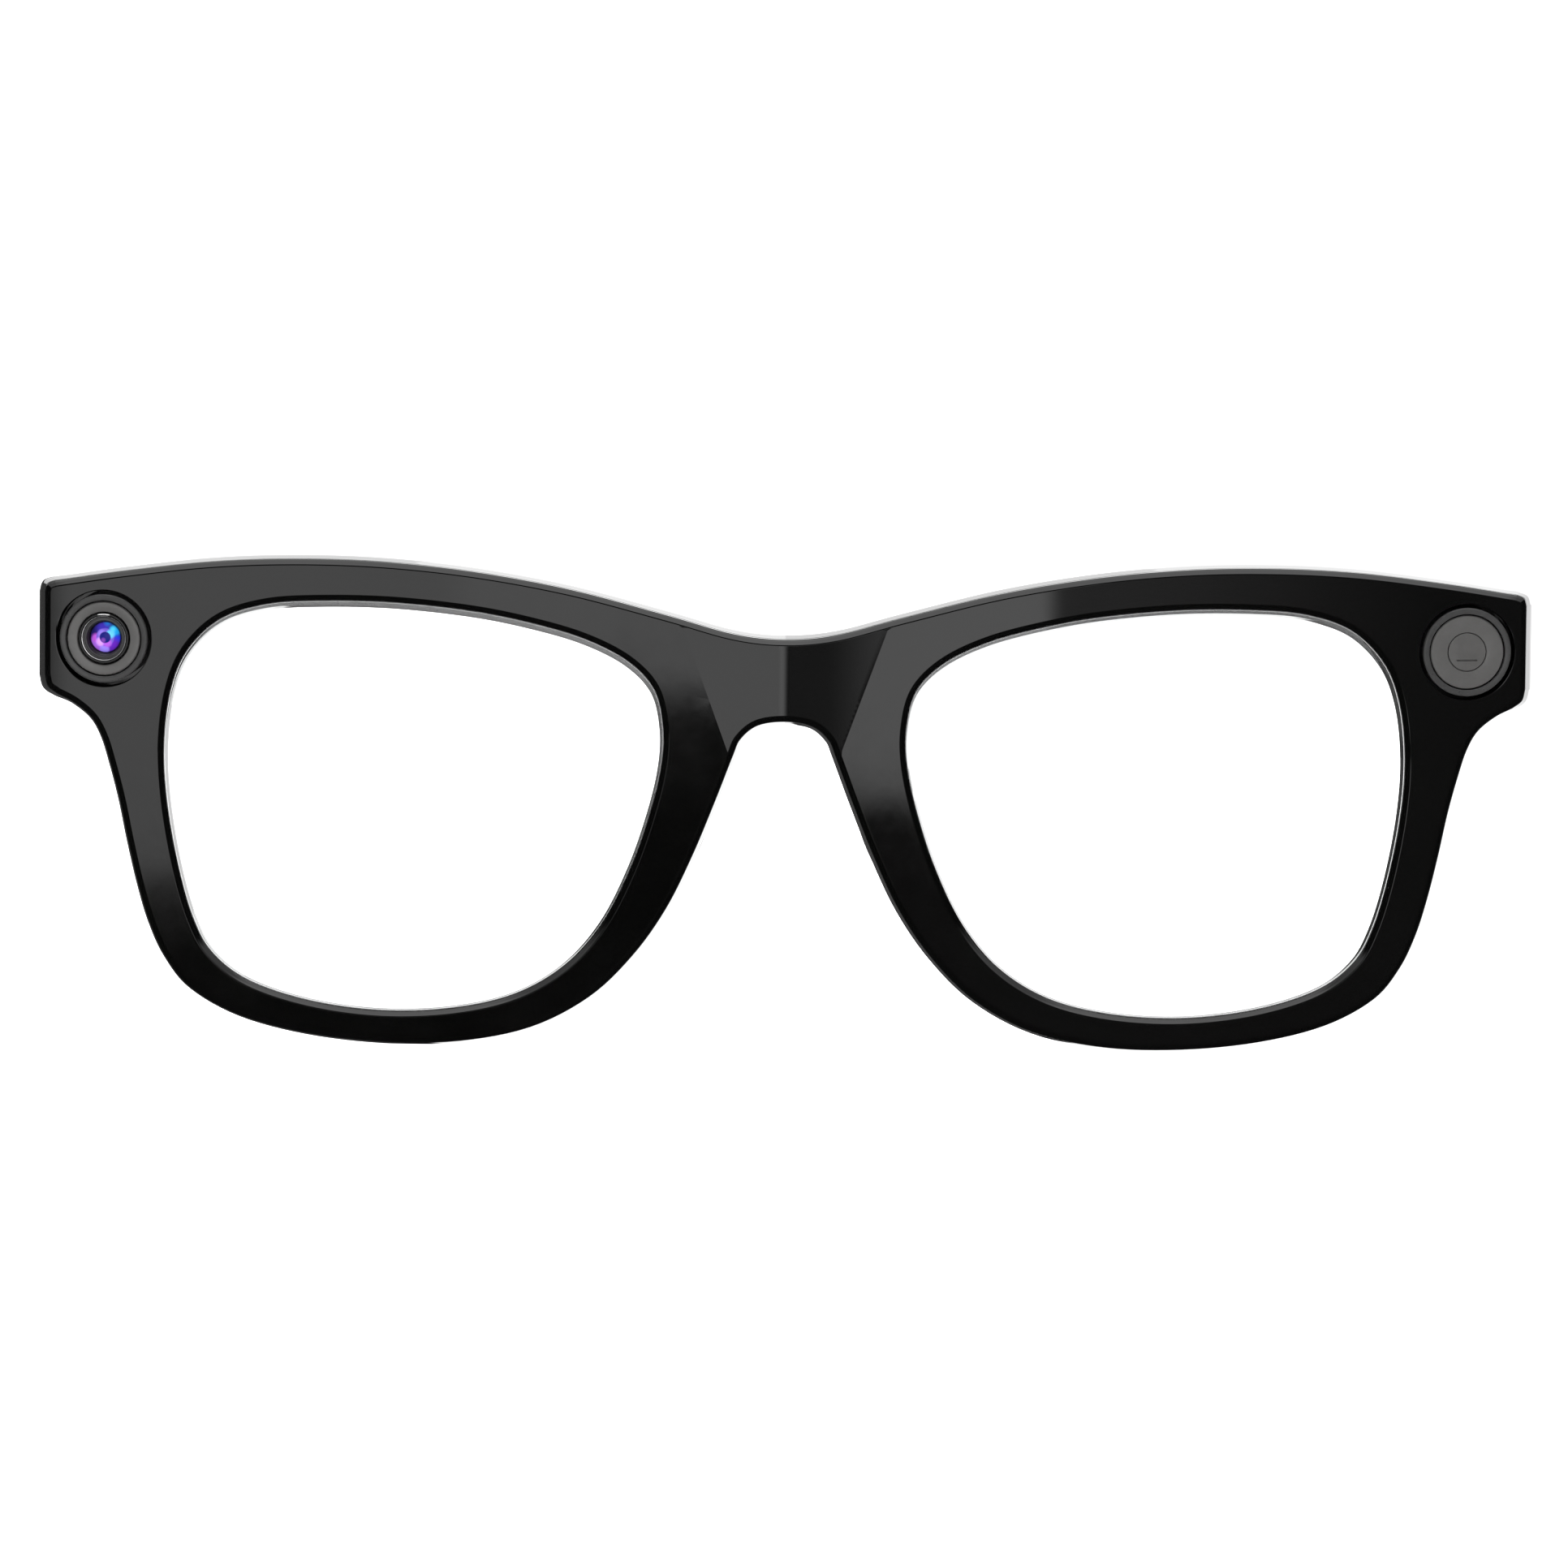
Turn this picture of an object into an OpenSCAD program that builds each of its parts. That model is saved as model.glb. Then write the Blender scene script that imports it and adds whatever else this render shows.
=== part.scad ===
// Camera glasses: front with two lenses, two folding temples, camera and recording light.
// X to the wearer's left, -Y forwards, Z up; the frame stands on both rims and both temple tips.

/* [Front] */
// Width over the end pieces, mm
front_width = 144.4; // [143.6:0.2:145.2]
// Radius of the front's wrap around the face, mm
base_radius = 500; // [480:10:560]
// Backward lean of the front's lower edge, degrees
front_tilt = 5.5; // [5.2:0.1:5.8]
// Thickness of the front shell, mm
front_shell = 2.8; // [2.7:0.1:2.8]
// Thickness of both shells together, mm
rim_depth = 5.6; // [5.5:0.1:5.8]

/* [Lenses] */
// Thickness of a lens, mm
lens_thick = 2.0; // [1.8:0.1:2.0]
// How far a lens reaches under the rim, mm
lens_grip = 0.8; // [0.6:0.1:0.9]

/* [Camera and light] */
// Outer diameter of the bezel rings, mm
bezel_d = 8.7; // [8.5:0.1:8.8]
// Diameter of the cover discs, mm
disc_d = 7.2; // [7.0:0.1:7.2]
// Diameter of the lens barrel, mm
barrel_d = 5.0; // [4.9:0.05:5.0]

/* [Hinges] */
// Radius of a hinge knuckle, mm
knuckle_r = 1.7; // [1.6:0.05:1.75]
// Radius of a hinge screw's shaft, mm
pin_r = 0.8; // [0.75:0.05:0.8]

/* [Controls] */
// Travel of the capture button, mm
button_travel = 0.4; // [0.3:0.05:0.4]
// Travel of the power slider, mm
slider_travel = 2.0; // [1.5:0.1:2.0]

/* [Hidden] */
$fn = 48;

shift_y = -74.2;          // moves the middle of the length onto the origin
shift_z = 23.37;          // moves the resting edge onto z = 0
wide = front_width / 144.4;
bond = 0.1;               // glue line between the two shells
rear_start = front_shell + bond;
lens_start = front_shell - 1.0;
outer_lip = 0.35;         // how far the rear shell stands out round the front shell
inner_lip = 0.3;          // how far the rear shell stands in behind the lens opening
pocket_gap = 0.05;        // play in front of and behind a lens
pocket_play = 0.1;        // play around a lens
round_fn = 720;           // facets of the large wrap cylinders

// Knots of half the front's outline, from the top of the bridge round to the nose arch.
brow = [[0, 16.82], [5, 17.3], [11.5, 19.05], [21, 21.45], [30.5, 23.05], [39.5, 23.85], [48, 23.95],
  [56, 23.5], [64.5, 22.4], [71.2, 21.3]];
end_side = [[71.9, 20.9], [72.2, 20.2], [72.2, 12.0], [71.9, 10.9], [71.0, 10.2]];
end_fillet = [[71.0, 10.2], [69.3, 9.35], [67.6, 7.95], [66.55, 6.1], [65.75, 3.6]];
rim = [[65.75, 3.6], [64.8, 0], [63.9, -4.3], [62.9, -8.5], [61.8, -12.1], [60.25, -15.4], [57.75, -18.4],
  [53, -20.95], [46.5, -22.55], [39, -23.27], [31.5, -23.05], [24.5, -21.55], [18.8, -18.5],
  [14.6, -14.4], [11.4, -9.8], [8.9, -4.65], [6.7, 0.8], [5.0, 5.3]];
arch = [[5.0, 5.3], [4.25, 7.0], [2.6, 8.35], [0, 8.75]];
// Knots of the left lens opening, clockwise seen from the front.
opening = [[30.5, 19.1], [38, 19.8], [45, 19.85], [50.5, 19.4], [55, 17.85], [58.2, 14.7], [59.8, 10.7],
  [60.4, 5.5], [60.1, 0], [59, -6.25], [57.5, -11.4], [55.6, -14.8], [52, -17.45], [46, -19.3],
  [39, -20.1], [32, -19.7], [26, -18.2], [21.2, -15.3], [17.6, -11.1], [14.9, -5.65], [13, 0],
  [12, 4.55], [11.9, 8.25], [12.8, 11.8], [15.4, 14.5], [19.5, 16.55], [24.6, 18.0]];

// Middle of the camera and of the light on the front surface.
eye_x = 66.4 * wide;
eye_z = 15.75;
eye_turn = asin(eye_x / base_radius);
bezel_groove = 0.35;      // open groove round a bezel ring
pocket_r = 3.95;          // bore behind a bezel ring

// Hinges, seen on the left side.
pivot_x = 63.0;
pivot_y = 15.0;
block_rear = 13.1;        // rear face of an end block
temple_front = 13.4;      // front face of a temple
fold_relief = 2.05;       // radius cleared round a hinge inside a temple
low_knuckle = [12.9, 14.6];
mid_knuckle = [14.7, 17.3];
top_knuckle = [17.4, 19.1];
bore_play = 0.05;

// A temple: side outline (y, z), plan of both faces (y, x) and the ear hook seen from the front (z, x).
temple_top = [[13.4, 20.9], [40, 20.7], [65, 19.9], [85, 18.6], [98, 16.6], [108, 13.1], [116, 8.8],
  [124, 3.3], [132, -3.0], [139, -9.0], [145, -14.7], [148.8, -19.0], [149.9, -21.2], [149.1, -22.95],
  [147.0, -23.37]];
temple_bottom = [[147.0, -23.37], [143.5, -20.8], [136.5, -14.3], [128.5, -7.4], [120.5, -1.0],
  [112.5, 4.6], [105, 8.3], [96, 10.0], [85, 10.3], [60, 10.4], [35, 10.5], [13.4, 10.9]];
face_out = [[13.4, 71.8], [40, 71.8], [70, 71.5], [90, 71.1], [104, 70.6], [118, 70.4], [152, 70.4]];
face_in = [[13.4, 63.6], [40, 63.7], [65, 64.0], [82, 64.6], [95, 65.4], [105, 65.9], [118, 66.0],
  [127, 65.4]];
hook_out = [[5.5, 70.4], [3, 70.1], [-3.8, 69.8], [-10, 68.9], [-14.2, 68.1], [-18.5, 66.7], [-24, 64.4]];
hook_in = [[5.5, 66.0], [3, 66.0], [-3.8, 65.9], [-10, 65.2], [-14.2, 64.3], [-18.5, 62.9], [-24, 60.4]];
cover_thick = 1.0;
cover_play = 0.05;
cavity = [[27, 12], [27, 19.3], [60, 18.8], [80, 17.6], [93, 15.8], [93, 11.8]];
cavity_x = 70.3;
cover = [[26, 11.2], [26, 19.9], [60, 19.5], [81, 18.3], [94, 16.4], [94, 11.1]];
boss_r = 1.3;
bosses = [[29.2, 15.6], [91, 13.9]];
wall_screw_r = 0.5;

// Capture button on top of the right temple, power slider on the inside of the left one.
button_y = 34.5;
button_x = 67.7;
button_len = 8;
button_wide = 2.6;
fit = 0.08;               // running fit of the controls
slider_y = 34;
slider_z = 15.4;
slider_len = 3;
slider_tall = 1.8;
speaker_y = 81;

function curve_at(a, b, c, d, t) =
  0.5 * (2 * b + (c - a) * t + (2 * a - 5 * b + 4 * c - d) * t * t + (3 * b - 3 * c + d - a) * t * t * t);
function smooth(p, n = 3) = let (m = len(p) - 1) concat([for (i = [0:m - 1]) for (j = [0:n - 1])
  curve_at(i == 0 ? 2 * p[0] - p[1] : p[i - 1], p[i], p[i + 1], i == m - 1 ? 2 * p[m] - p[m - 1] : p[i + 2],
    j / n)], [p[m]]);
function smooth_loop(p, n = 4) = let (m = len(p)) [for (i = [0:m - 1]) for (j = [0:n - 1])
  curve_at(p[(i + m - 1) % m], p[i], p[(i + 1) % m], p[(i + 2) % m], j / n)];
// Moves every point of a clockwise loop outwards by d.
function grown(p, d) = let (m = len(p)) [for (i = [0:m - 1]) let (t = p[(i + 1) % m] - p[(i + m - 1) % m])
  p[i] + d * [-t[1], t[0]] / norm(t)];
function widen(p) = [for (q = p) [q[0] * wide, q[1]]];
function flip(p) = [for (q = p) [q[1], q[0]]];
function back(p) = [for (i = [len(p) - 1:-1:0]) p[i]];
function sag(x) = base_radius - sqrt(base_radius * base_radius - x * x);
// A front outline as it stands when the front leans: its walls then run straight back along Y.
function leaning(p) = [for (q = p) [q[0], q[1] * cos(front_tilt) + sag(q[0]) * sin(front_tilt)]];
function tail(p) = [for (i = [1:len(p) - 1]) p[i]];

half = concat(smooth(brow), end_side, tail(smooth(end_fillet)), tail(smooth(rim)), tail(smooth(arch)));
inner_half = [for (i = [1:len(half) - 2]) half[i]];
outline = widen(concat(half, back([for (q = inner_half) [-q[0], q[1]]])));
hole = widen(smooth_loop(opening));

module placed() translate([0, shift_y, shift_z]) children();
module front_placed() placed() rotate([front_tilt, 0, 0]) children();
module side(s) mirror([s < 0 ? 1 : 0, 0, 0]) children();
// Prism of a front-view shape between two depths.
module deep(y0, y1) translate([0, y1, 0]) rotate([90, 0, 0]) linear_extrude(y1 - y0) children();
// Prism of a side-view (y, z) polygon between two x values.
module across(x0, x1) translate([x0, 0, 0]) rotate([90, 0, 90]) linear_extrude(x1 - x0) children();
module drum(depth) translate([0, base_radius, -40]) cylinder(r = base_radius - depth, h = 80, $fn = round_fn);
// Wrapped, leaning layer of a front-view shape between two depths behind the front surface.
module layer(a, b) placed() intersection() {
  deep(-6, 20) children();
  rotate([front_tilt, 0, 0]) difference() { drum(a); drum(b); }
}
module both_holes(extra) for (s = [-1, 1]) scale_side(s) polygon(leaning(grown(hole, extra)));
module scale_side(s) mirror([s < 0 ? 1 : 0, 0]) children();
// Local frame of the camera (s = -1) or the light (s = 1), y running backwards from the surface.
module eye(s) side(s)
  translate([eye_x, sag(eye_x), eye_z])
    rotate([0, 0, eye_turn]) children();
// Solid of revolution about an eye's axis, from (radius, depth) points.
module spun(p) rotate([-90, 0, 0]) rotate_extrude($fn = 96) polygon(p);
module rod(r, y0, y1, f = 64) translate([0, y0, 0]) rotate([-90, 0, 0]) cylinder(r = r, h = y1 - y0, $fn = f);
module post(x, y, r, z, f = 40) translate([x, y, z[0]]) cylinder(r = r, h = z[1] - z[0], $fn = f);
module block(x, y, z) translate([x[0], y[0], z[0]]) cube([x[1] - x[0], y[1] - y[0], z[1] - z[0]]);

cable_line = smooth([[0, 13.1], [8, 15.6], [16, 18.75], [24, 20.5], [34, 21.8], [45, 22.2], [54, 21.65],
  [60, 20.1], [62.6, 18.9]]);
function cable_band(w) = let (h = cable_line, n = len(h) - 1) concat(
  [for (i = [n:-1:1]) [-h[i][0], h[i][1] + w]], [for (i = [0:n]) h[i] + [0, w]],
  [for (i = [n:-1:0]) h[i] - [0, w]], [for (i = [1:n]) [-h[i][0], h[i][1] - w]]);
channel_deep = 0.4;
mic = [3, 2, 1];
plate = [12, 5];

module front_frame() color("black") difference() {
  layer(0, front_shell) difference() { polygon(leaning(outline)); both_holes(0); }
  layer(lens_start - pocket_gap, front_shell + 1) both_holes(lens_grip + pocket_play);
  front_placed() for (s = [-1, 1]) eye(s) rod(bezel_d / 2 + bezel_groove, -2, 6);
}

module rear_frame() color("black") difference() {
  union() {
    layer(rear_start, rim_depth) difference() { polygon(leaning(grown(outline, outer_lip))); both_holes(-inner_lip); }
    for (s = [-1, 1]) end_block(s);
  }
  layer(rear_start - 1, lens_start + lens_thick + pocket_gap) both_holes(lens_grip + pocket_play);
  layer(rear_start - 1, rear_start + channel_deep) polygon(leaning(cable_band(0.75)));
  front_placed() {
    eye(-1) rod(pocket_r, 1, 8.3);
    eye(1) rod(pocket_r, 1, 4.2);
    translate([0, 0, 13.1]) {
      block([-mic[0] / 2 - 0.1, mic[0] / 2 + 0.1], [2, rear_start + channel_deep + 1.1],
        [-mic[1] / 2 - 0.1, mic[1] / 2 + 0.1]);
      translate([0, 3.9, -6]) cylinder(r = 0.4, h = 6);
      block([-plate[0] / 2 - 0.05, plate[0] / 2 + 0.05], [rim_depth - 0.65, 9],
        [-plate[1] / 2 - 0.05, plate[1] / 2 + 0.05]);
    }
  }
  placed() for (s = [-1, 1]) side(s) block([61.8, 68.1], [block_rear - 1.05, 20], [12.8, 19.2]);
}

// Block behind each end piece that carries the hinge and the camera or light pocket.
module end_block(s) placed() side(s) intersection() {
  deep(0, block_rear) polygon([[60.3, 11.6], [71.1, 11.6], [71.7, 11.9], [72 * wide, 12.5],
    [72 * wide, 20.4], [71.7, 20.9], [71.0, 21.1], [60.3, 22.3]]);
  rotate([front_tilt, 0, 0]) drum(rim_depth - 0.1);
}

module lens(s) color([0.9, 0.95, 1, 0.35])
  layer(lens_start, lens_start + lens_thick) scale_side(s) polygon(leaning(grown(hole, lens_grip)));
module lens_right() lens(-1);
module lens_left() lens(1);

// Nose pads: leaning oval studs with a domed rear face.
module nose_pad(s) color("dimgray") front_placed() side(s) intersection() {
  drum(rim_depth + 0.05);
  translate([10.4, 5, -3.2]) rotate([0, -24, -14]) deep(0, 6)
    polygon([for (a = [0:10:350]) [2.1 * cos(a), 6.4 * sin(a)]]);
  translate([10.9, 1.4, -3.2]) sphere(r = 8.6, $fn = 96);
}
module nose_pad_right() nose_pad(-1);
module nose_pad_left() nose_pad(1);

module bezel() {
  r = bezel_d / 2;
  seat = disc_d / 2 + 0.12;
  spun([[seat, -0.05], [r - 0.3, -0.15], [r, 0.1], [r, front_shell - 0.05], [2.95, front_shell - 0.05],
    [2.95, 1.15], [seat, 1.15]]);
}
module camera_bezel_ring() color([0.1, 0.1, 0.1]) front_placed() eye(-1) bezel();
module camera_cover_disc() color([0.16, 0.16, 0.17]) front_placed() eye(-1)
  spun([[barrel_d / 2 + 0.08, 0.12], [disc_d / 2 - 0.1, 0.05], [disc_d / 2, 0.15], [disc_d / 2, 1.13],
    [barrel_d / 2 + 0.08, 1.13]]);
module camera_barrel() color([0.05, 0.05, 0.05]) front_placed() eye(-1)
  spun([[2.25, 0.0], [barrel_d / 2 - 0.1, -0.1], [barrel_d / 2, 0], [barrel_d / 2, 5.2], [1.1, 5.2],
    [1.1, 2.4], [1.5, 2.4], [1.5, 1.15], [1.75, 1.0], [1.75, 0.75], [1.98, 0.6], [1.98, 0.38], [2.25, 0.38]]);
module camera_trim_ring() color([0.75, 0.75, 0.77]) front_placed() eye(-1)
  spun([[2.06, 0.08], [2.14, 0.02], [2.23, 0.08], [2.23, 0.36], [2.06, 0.36]]);
module camera_lens() color([0.15, 0.1, 0.6]) front_placed() eye(-1)
  spun(concat([for (a = [0:4:24]) [3.55 * sin(a), 4.4 - 3.55 * cos(a)]], [[1.46, 1.3], [1.46, 1.9], [0, 1.9]]));
module camera_stop() color([0.02, 0.02, 0.02]) front_placed() eye(-1)
  spun([[0.55, 1.95], [1.44, 1.95], [1.44, 2.35], [0.55, 2.35]]);
module camera_sensor_module() color([0.1, 0.25, 0.15]) front_placed() eye(-1)
  block([-2.7, 2.7], [5.25, 8.1], [-2.7, 2.7]);

module led_bezel_ring() color([0.1, 0.1, 0.1]) front_placed() eye(1) bezel();
window_r = 1.85;
module led_cover_disc() color([0.16, 0.16, 0.17]) front_placed() eye(1)
  spun([[window_r + 0.06, 0.1], [disc_d / 2 - 0.1, 0.05], [disc_d / 2, 0.15], [disc_d / 2, 1.13],
    [1.5, 1.13], [1.5, 0.7], [window_r + 0.06, 0.7]]);
module led_window() color([0.2, 0.2, 0.22, 0.6]) front_placed() eye(1) rod(window_r, 0.1, 0.68);
module led_chip() color("white") front_placed() eye(1) {
  block([-0.6, 0.6], [2.3, 2.98], [-0.3, 0.9]);
  block([-1.0, 1.0], [2.6, 2.98], [-0.95, -0.7]);
}
module led_board() color("darkgreen") front_placed() eye(1) rod(pocket_r - 0.15, 3.0, 3.8);

module brow_flex_cable() color("orange")
  layer(rear_start + 0.05, rear_start + 0.25) polygon(leaning(cable_band(0.5)));
module bridge_microphone() color("silver") front_placed() translate([0, 0, 13.1])
  block([-mic[0] / 2, mic[0] / 2], [rear_start + channel_deep, rear_start + channel_deep + mic[2]],
    [-mic[1] / 2, mic[1] / 2]);
contact_x = [-3.4, 0, 3.4];
contact_r = 0.9;
module charging_plate() color([0.12, 0.12, 0.12]) front_placed() translate([0, 0, 13.1]) difference() {
  block([-plate[0] / 2, plate[0] / 2], [rim_depth - 0.62, rim_depth + 0.15], [-plate[1] / 2, plate[1] / 2]);
  for (x = contact_x) translate([x, 0, 0]) rod(contact_r + 0.04, rim_depth - 0.3, 9);
}
module charging_contacts() color("gold") front_placed() translate([0, 0, 13.1])
  for (x = contact_x) translate([x, 0, 0]) rod(contact_r, rim_depth - 0.28, rim_depth + 0.25);

// Hinge leaf with two knuckles, let into the rear face of an end block.
module hinge_leaf_front(s) color("silver") placed() side(s) difference() {
  union() {
    block([61.9, 68.0], [block_rear - 1.0, block_rear], [low_knuckle[0], top_knuckle[1]]);
    for (z = [low_knuckle, top_knuckle]) {
      block([pivot_x - 1.0, pivot_x + 1.0], [block_rear - 0.5, pivot_y], z);
      post(pivot_x, pivot_y, knuckle_r, z);
    }
  }
  post(pivot_x, pivot_y, pin_r + bore_play, [10, 22]);
  post(pivot_x, pivot_y, knuckle_r + 0.2, [low_knuckle[1], top_knuckle[0]]);
}
module hinge_leaf_front_right() hinge_leaf_front(-1);
module hinge_leaf_front_left() hinge_leaf_front(1);
module hinge_screws() color("silver") placed() for (s = [-1, 1]) side(s) difference() {
  union() {
    post(pivot_x, pivot_y, pin_r, [low_knuckle[0] - 0.3, top_knuckle[1] + 0.3]);
    post(pivot_x, pivot_y, 1.35, [top_knuckle[1] + 0.02, top_knuckle[1] + 0.7]);
  }
  block([pivot_x - 2, pivot_x + 2], [pivot_y - 0.15, pivot_y + 0.15], [top_knuckle[1] + 0.4, 21]);
}

// Outer envelope of a left temple.
module temple_form() intersection() {
  across(58, 74) polygon(concat(smooth(temple_top), tail(smooth(temple_bottom))));
  translate([0, 0, -30]) linear_extrude(60) polygon(flip(concat(smooth(face_out),
    [[152, 56], [127, 56]], back(smooth(face_in)))));
  deep(10, 155) polygon(flip(concat([[26, 73], [6.5, 73]], smooth(hook_out), back(smooth(hook_in)),
    [[5.5, 60], [26, 60]])));
}
// Band just under a temple's inner face, from the face to the given depth.
module under_face(d) translate([0, 0, 5]) linear_extrude(20) polygon(flip(concat(
  [for (q = smooth(face_in)) q - [0, 1]], back([for (q = smooth(face_in)) q + [0, d]]))));

module temple_shell(s) color("black") placed() side(s) difference() {
  temple_form();
  difference() {
    across(60, cavity_x) polygon(cavity);
    for (b = bosses) translate([0, b[0], b[1]]) rotate([0, 90, 0]) cylinder(r = boss_r, h = 72, $fn = 40);
  }
  intersection() {
    under_face(cover_thick + cover_play);
    across(60, 72) polygon(grown(cover, cover_play));
  }
  for (b = bosses) translate([60, b[0], b[1]]) rotate([0, 90, 0]) cylinder(r = wall_screw_r, h = 9);
  post(pivot_x, pivot_y, fold_relief, [low_knuckle[0] - 0.7, top_knuckle[1] + 1.0]);
  block([60, 65.1], [pivot_y, 25.1], [mid_knuckle[0] - 0.05, mid_knuckle[1] + 0.05]);
  translate([button_x - 1.4, speaker_y - 4.1, 10.9]) cube([2.8, 8.2, 2]);
  translate([button_x - 1.0, speaker_y - 3.7, 9]) cube([2.0, 7.4, 4]);
  if (s < 0) translate([0, 0, 18]) button_plan(fit, 5);
}
module temple_shell_right() temple_shell(-1);
module temple_shell_left() temple_shell(1);

module temple_cover(s) color([0.08, 0.08, 0.08]) placed() side(s) difference() {
  intersection() {
    difference() { under_face(cover_thick); translate([0, 0, 5]) linear_extrude(20)
      polygon(flip(concat([for (q = smooth(face_in)) q - [0, 2]], back(smooth(face_in))))); }
    across(60, 72) polygon(cover);
  }
  for (b = bosses) translate([60, b[0], b[1]]) rotate([0, 90, 0]) cylinder(r = wall_screw_r + 0.1, h = 9);
  for (b = bosses) translate([60, b[0], b[1]]) rotate([0, 90, 0])
    cylinder(r = 1.0, h = face_x(b[0]) + 0.5 - 60);
  if (s > 0) block([60, 68], [slider_y - slider_len / 2 - fit, slider_y + slider_len / 2 + slider_travel + fit],
    [slider_z - slider_tall / 2 - fit, slider_z + slider_tall / 2 + fit]);
}
module temple_cover_right() temple_cover(-1);
module temple_cover_left() temple_cover(1);
// Inner face of a temple at a distance y along it.
function face_x(y) = lookup(y, face_in);

module hinge_leaf_temple(s) color("silver") placed() side(s) difference() {
  union() {
    post(pivot_x, pivot_y, knuckle_r, mid_knuckle);
    block([63.85, 65.05], [pivot_y, 25], mid_knuckle);
  }
  post(pivot_x, pivot_y, pin_r + bore_play, [10, 22]);
}
module hinge_leaf_temple_right() hinge_leaf_temple(-1);
module hinge_leaf_temple_left() hinge_leaf_temple(1);

module cover_screws(s) color("silver") placed() side(s) for (b = bosses)
  translate([face_x(b[0]), b[0], b[1]]) rotate([0, 90, 0]) difference() {
    union() {
      translate([0, 0, 0.05]) cylinder(r = 0.9, h = 0.43, $fn = 32);
      cylinder(r = wall_screw_r - 0.03, h = 3.2, $fn = 24);
    }
    translate([0, 0, -1]) cylinder(r = 0.35, h = 1.3, $fn = 6);
  }
module cover_screws_right() cover_screws(-1);
module cover_screws_left() cover_screws(1);

module battery() color([0.6, 0.6, 0.65]) placed() side(-1) block([65.3, 69.5], [42, 72], [12.6, 17.6]);
module touch_board() color("darkgreen") placed() side(-1) block([69.7, 70.25], [31.2, 78], [12.9, 17.3]);
module speaker(s) color([0.2, 0.2, 0.2]) placed() side(s) difference() {
  block([65.9, 69.4], [speaker_y - 4.6, speaker_y + 4.6], [12.05, 14.6]);
  translate([button_x, speaker_y, 11]) cylinder(r = 1.2, h = 1.6);
}
module speaker_right() speaker(-1);
module speaker_left() speaker(1);
module speaker_mesh(s) color("gray") placed() side(s) difference() {
  translate([button_x - 1.35, speaker_y - 4.05, 10.92]) cube([2.7, 8.1, 0.4]);
  for (i = [-3:3]) translate([button_x - 0.7, speaker_y + i - 0.2, 10]) cube([1.4, 0.4, 3]);
}
module speaker_mesh_right() speaker_mesh(-1);
module speaker_mesh_left() speaker_mesh(1);

// Slot shape of the capture button, grown by g and h tall.
module button_plan(g, h) translate([button_x, button_y, 0]) linear_extrude(h) {
  square([button_wide + 2 * g, button_len - button_wide], center = true);
  for (k = [-1, 1]) translate([0, k * (button_len - button_wide) / 2]) circle(r = button_wide / 2 + g, $fn = 40);
}
module capture_button() color([0.15, 0.15, 0.15]) placed() side(-1) {
  translate([0, 0, 18.55]) button_plan(0.45, 0.45);
  translate([0, 0, 18.6]) button_plan(0, 2.5);
}
module capture_switch() color("silver") placed() side(-1) {
  block([66.2, 69.68], [button_y - 1.6, button_y + 1.6], [16.4, 17.6]);
  post(button_x, button_y, 0.9, [17.5, 18.55 - button_travel - 0.1]);
}

module main_board() color("darkgreen") placed() side(1) {
  block([69.2, 70.0], [31.2, 74], [12.6, 17.8]);
  block([67.6, 69.3], [46, 54], [13.0, 17.4]);
  block([68.0, 69.3], [57, 63], [13.0, 17.2]);
  block([68.2, 69.3], [66, 71], [13.2, 16.4]);
}
module power_switch() color("silver") placed() side(1)
  block([65.7, 69.18], [slider_y - 2.6, slider_y + 4.6], [slider_z - 1.4, slider_z + 1.4]);
module power_slider() color([0.75, 0.75, 0.75]) placed() side(1) {
  difference() {
    block([63.05, 65.0], [slider_y - slider_len / 2, slider_y + slider_len / 2],
      [slider_z - slider_tall / 2, slider_z + slider_tall / 2]);
    for (k = [-0.8, 0, 0.8]) block([62, 63.25], [slider_y + k - 0.15, slider_y + k + 0.15], [10, 20]);
  }
  block([64.85, 65.45], [slider_y - 2.4, slider_y + 2.4], [slider_z - 1.3, slider_z + 1.3]);
}

front_frame();
rear_frame();
lens_right();
lens_left();
nose_pad_right();
nose_pad_left();
camera_bezel_ring();
camera_cover_disc();
camera_barrel();
camera_trim_ring();
camera_lens();
camera_stop();
camera_sensor_module();
led_bezel_ring();
led_cover_disc();
led_window();
led_chip();
led_board();
brow_flex_cable();
bridge_microphone();
charging_plate();
charging_contacts();
hinge_leaf_front_right();
hinge_leaf_front_left();
hinge_screws();
temple_shell_right();
temple_cover_right();
hinge_leaf_temple_right();
cover_screws_right();
battery();
touch_board();
speaker_right();
speaker_mesh_right();
capture_switch();
capture_button();
temple_shell_left();
temple_cover_left();
hinge_leaf_temple_left();
cover_screws_left();
main_board();
speaker_left();
speaker_mesh_left();
power_switch();
power_slider();
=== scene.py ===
"""Camera glasses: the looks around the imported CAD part.

Sizes are in millimetres in the CAD part's own coordinates (X to the wearer's left, Y backwards from the
front, Z up from the middle of the lenses); place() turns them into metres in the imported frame.
"""

import math

import bmesh
import bpy
import numpy as np
from mathutils import Matrix, Vector
from mathutils.geometry import delaunay_2d_cdt


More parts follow.
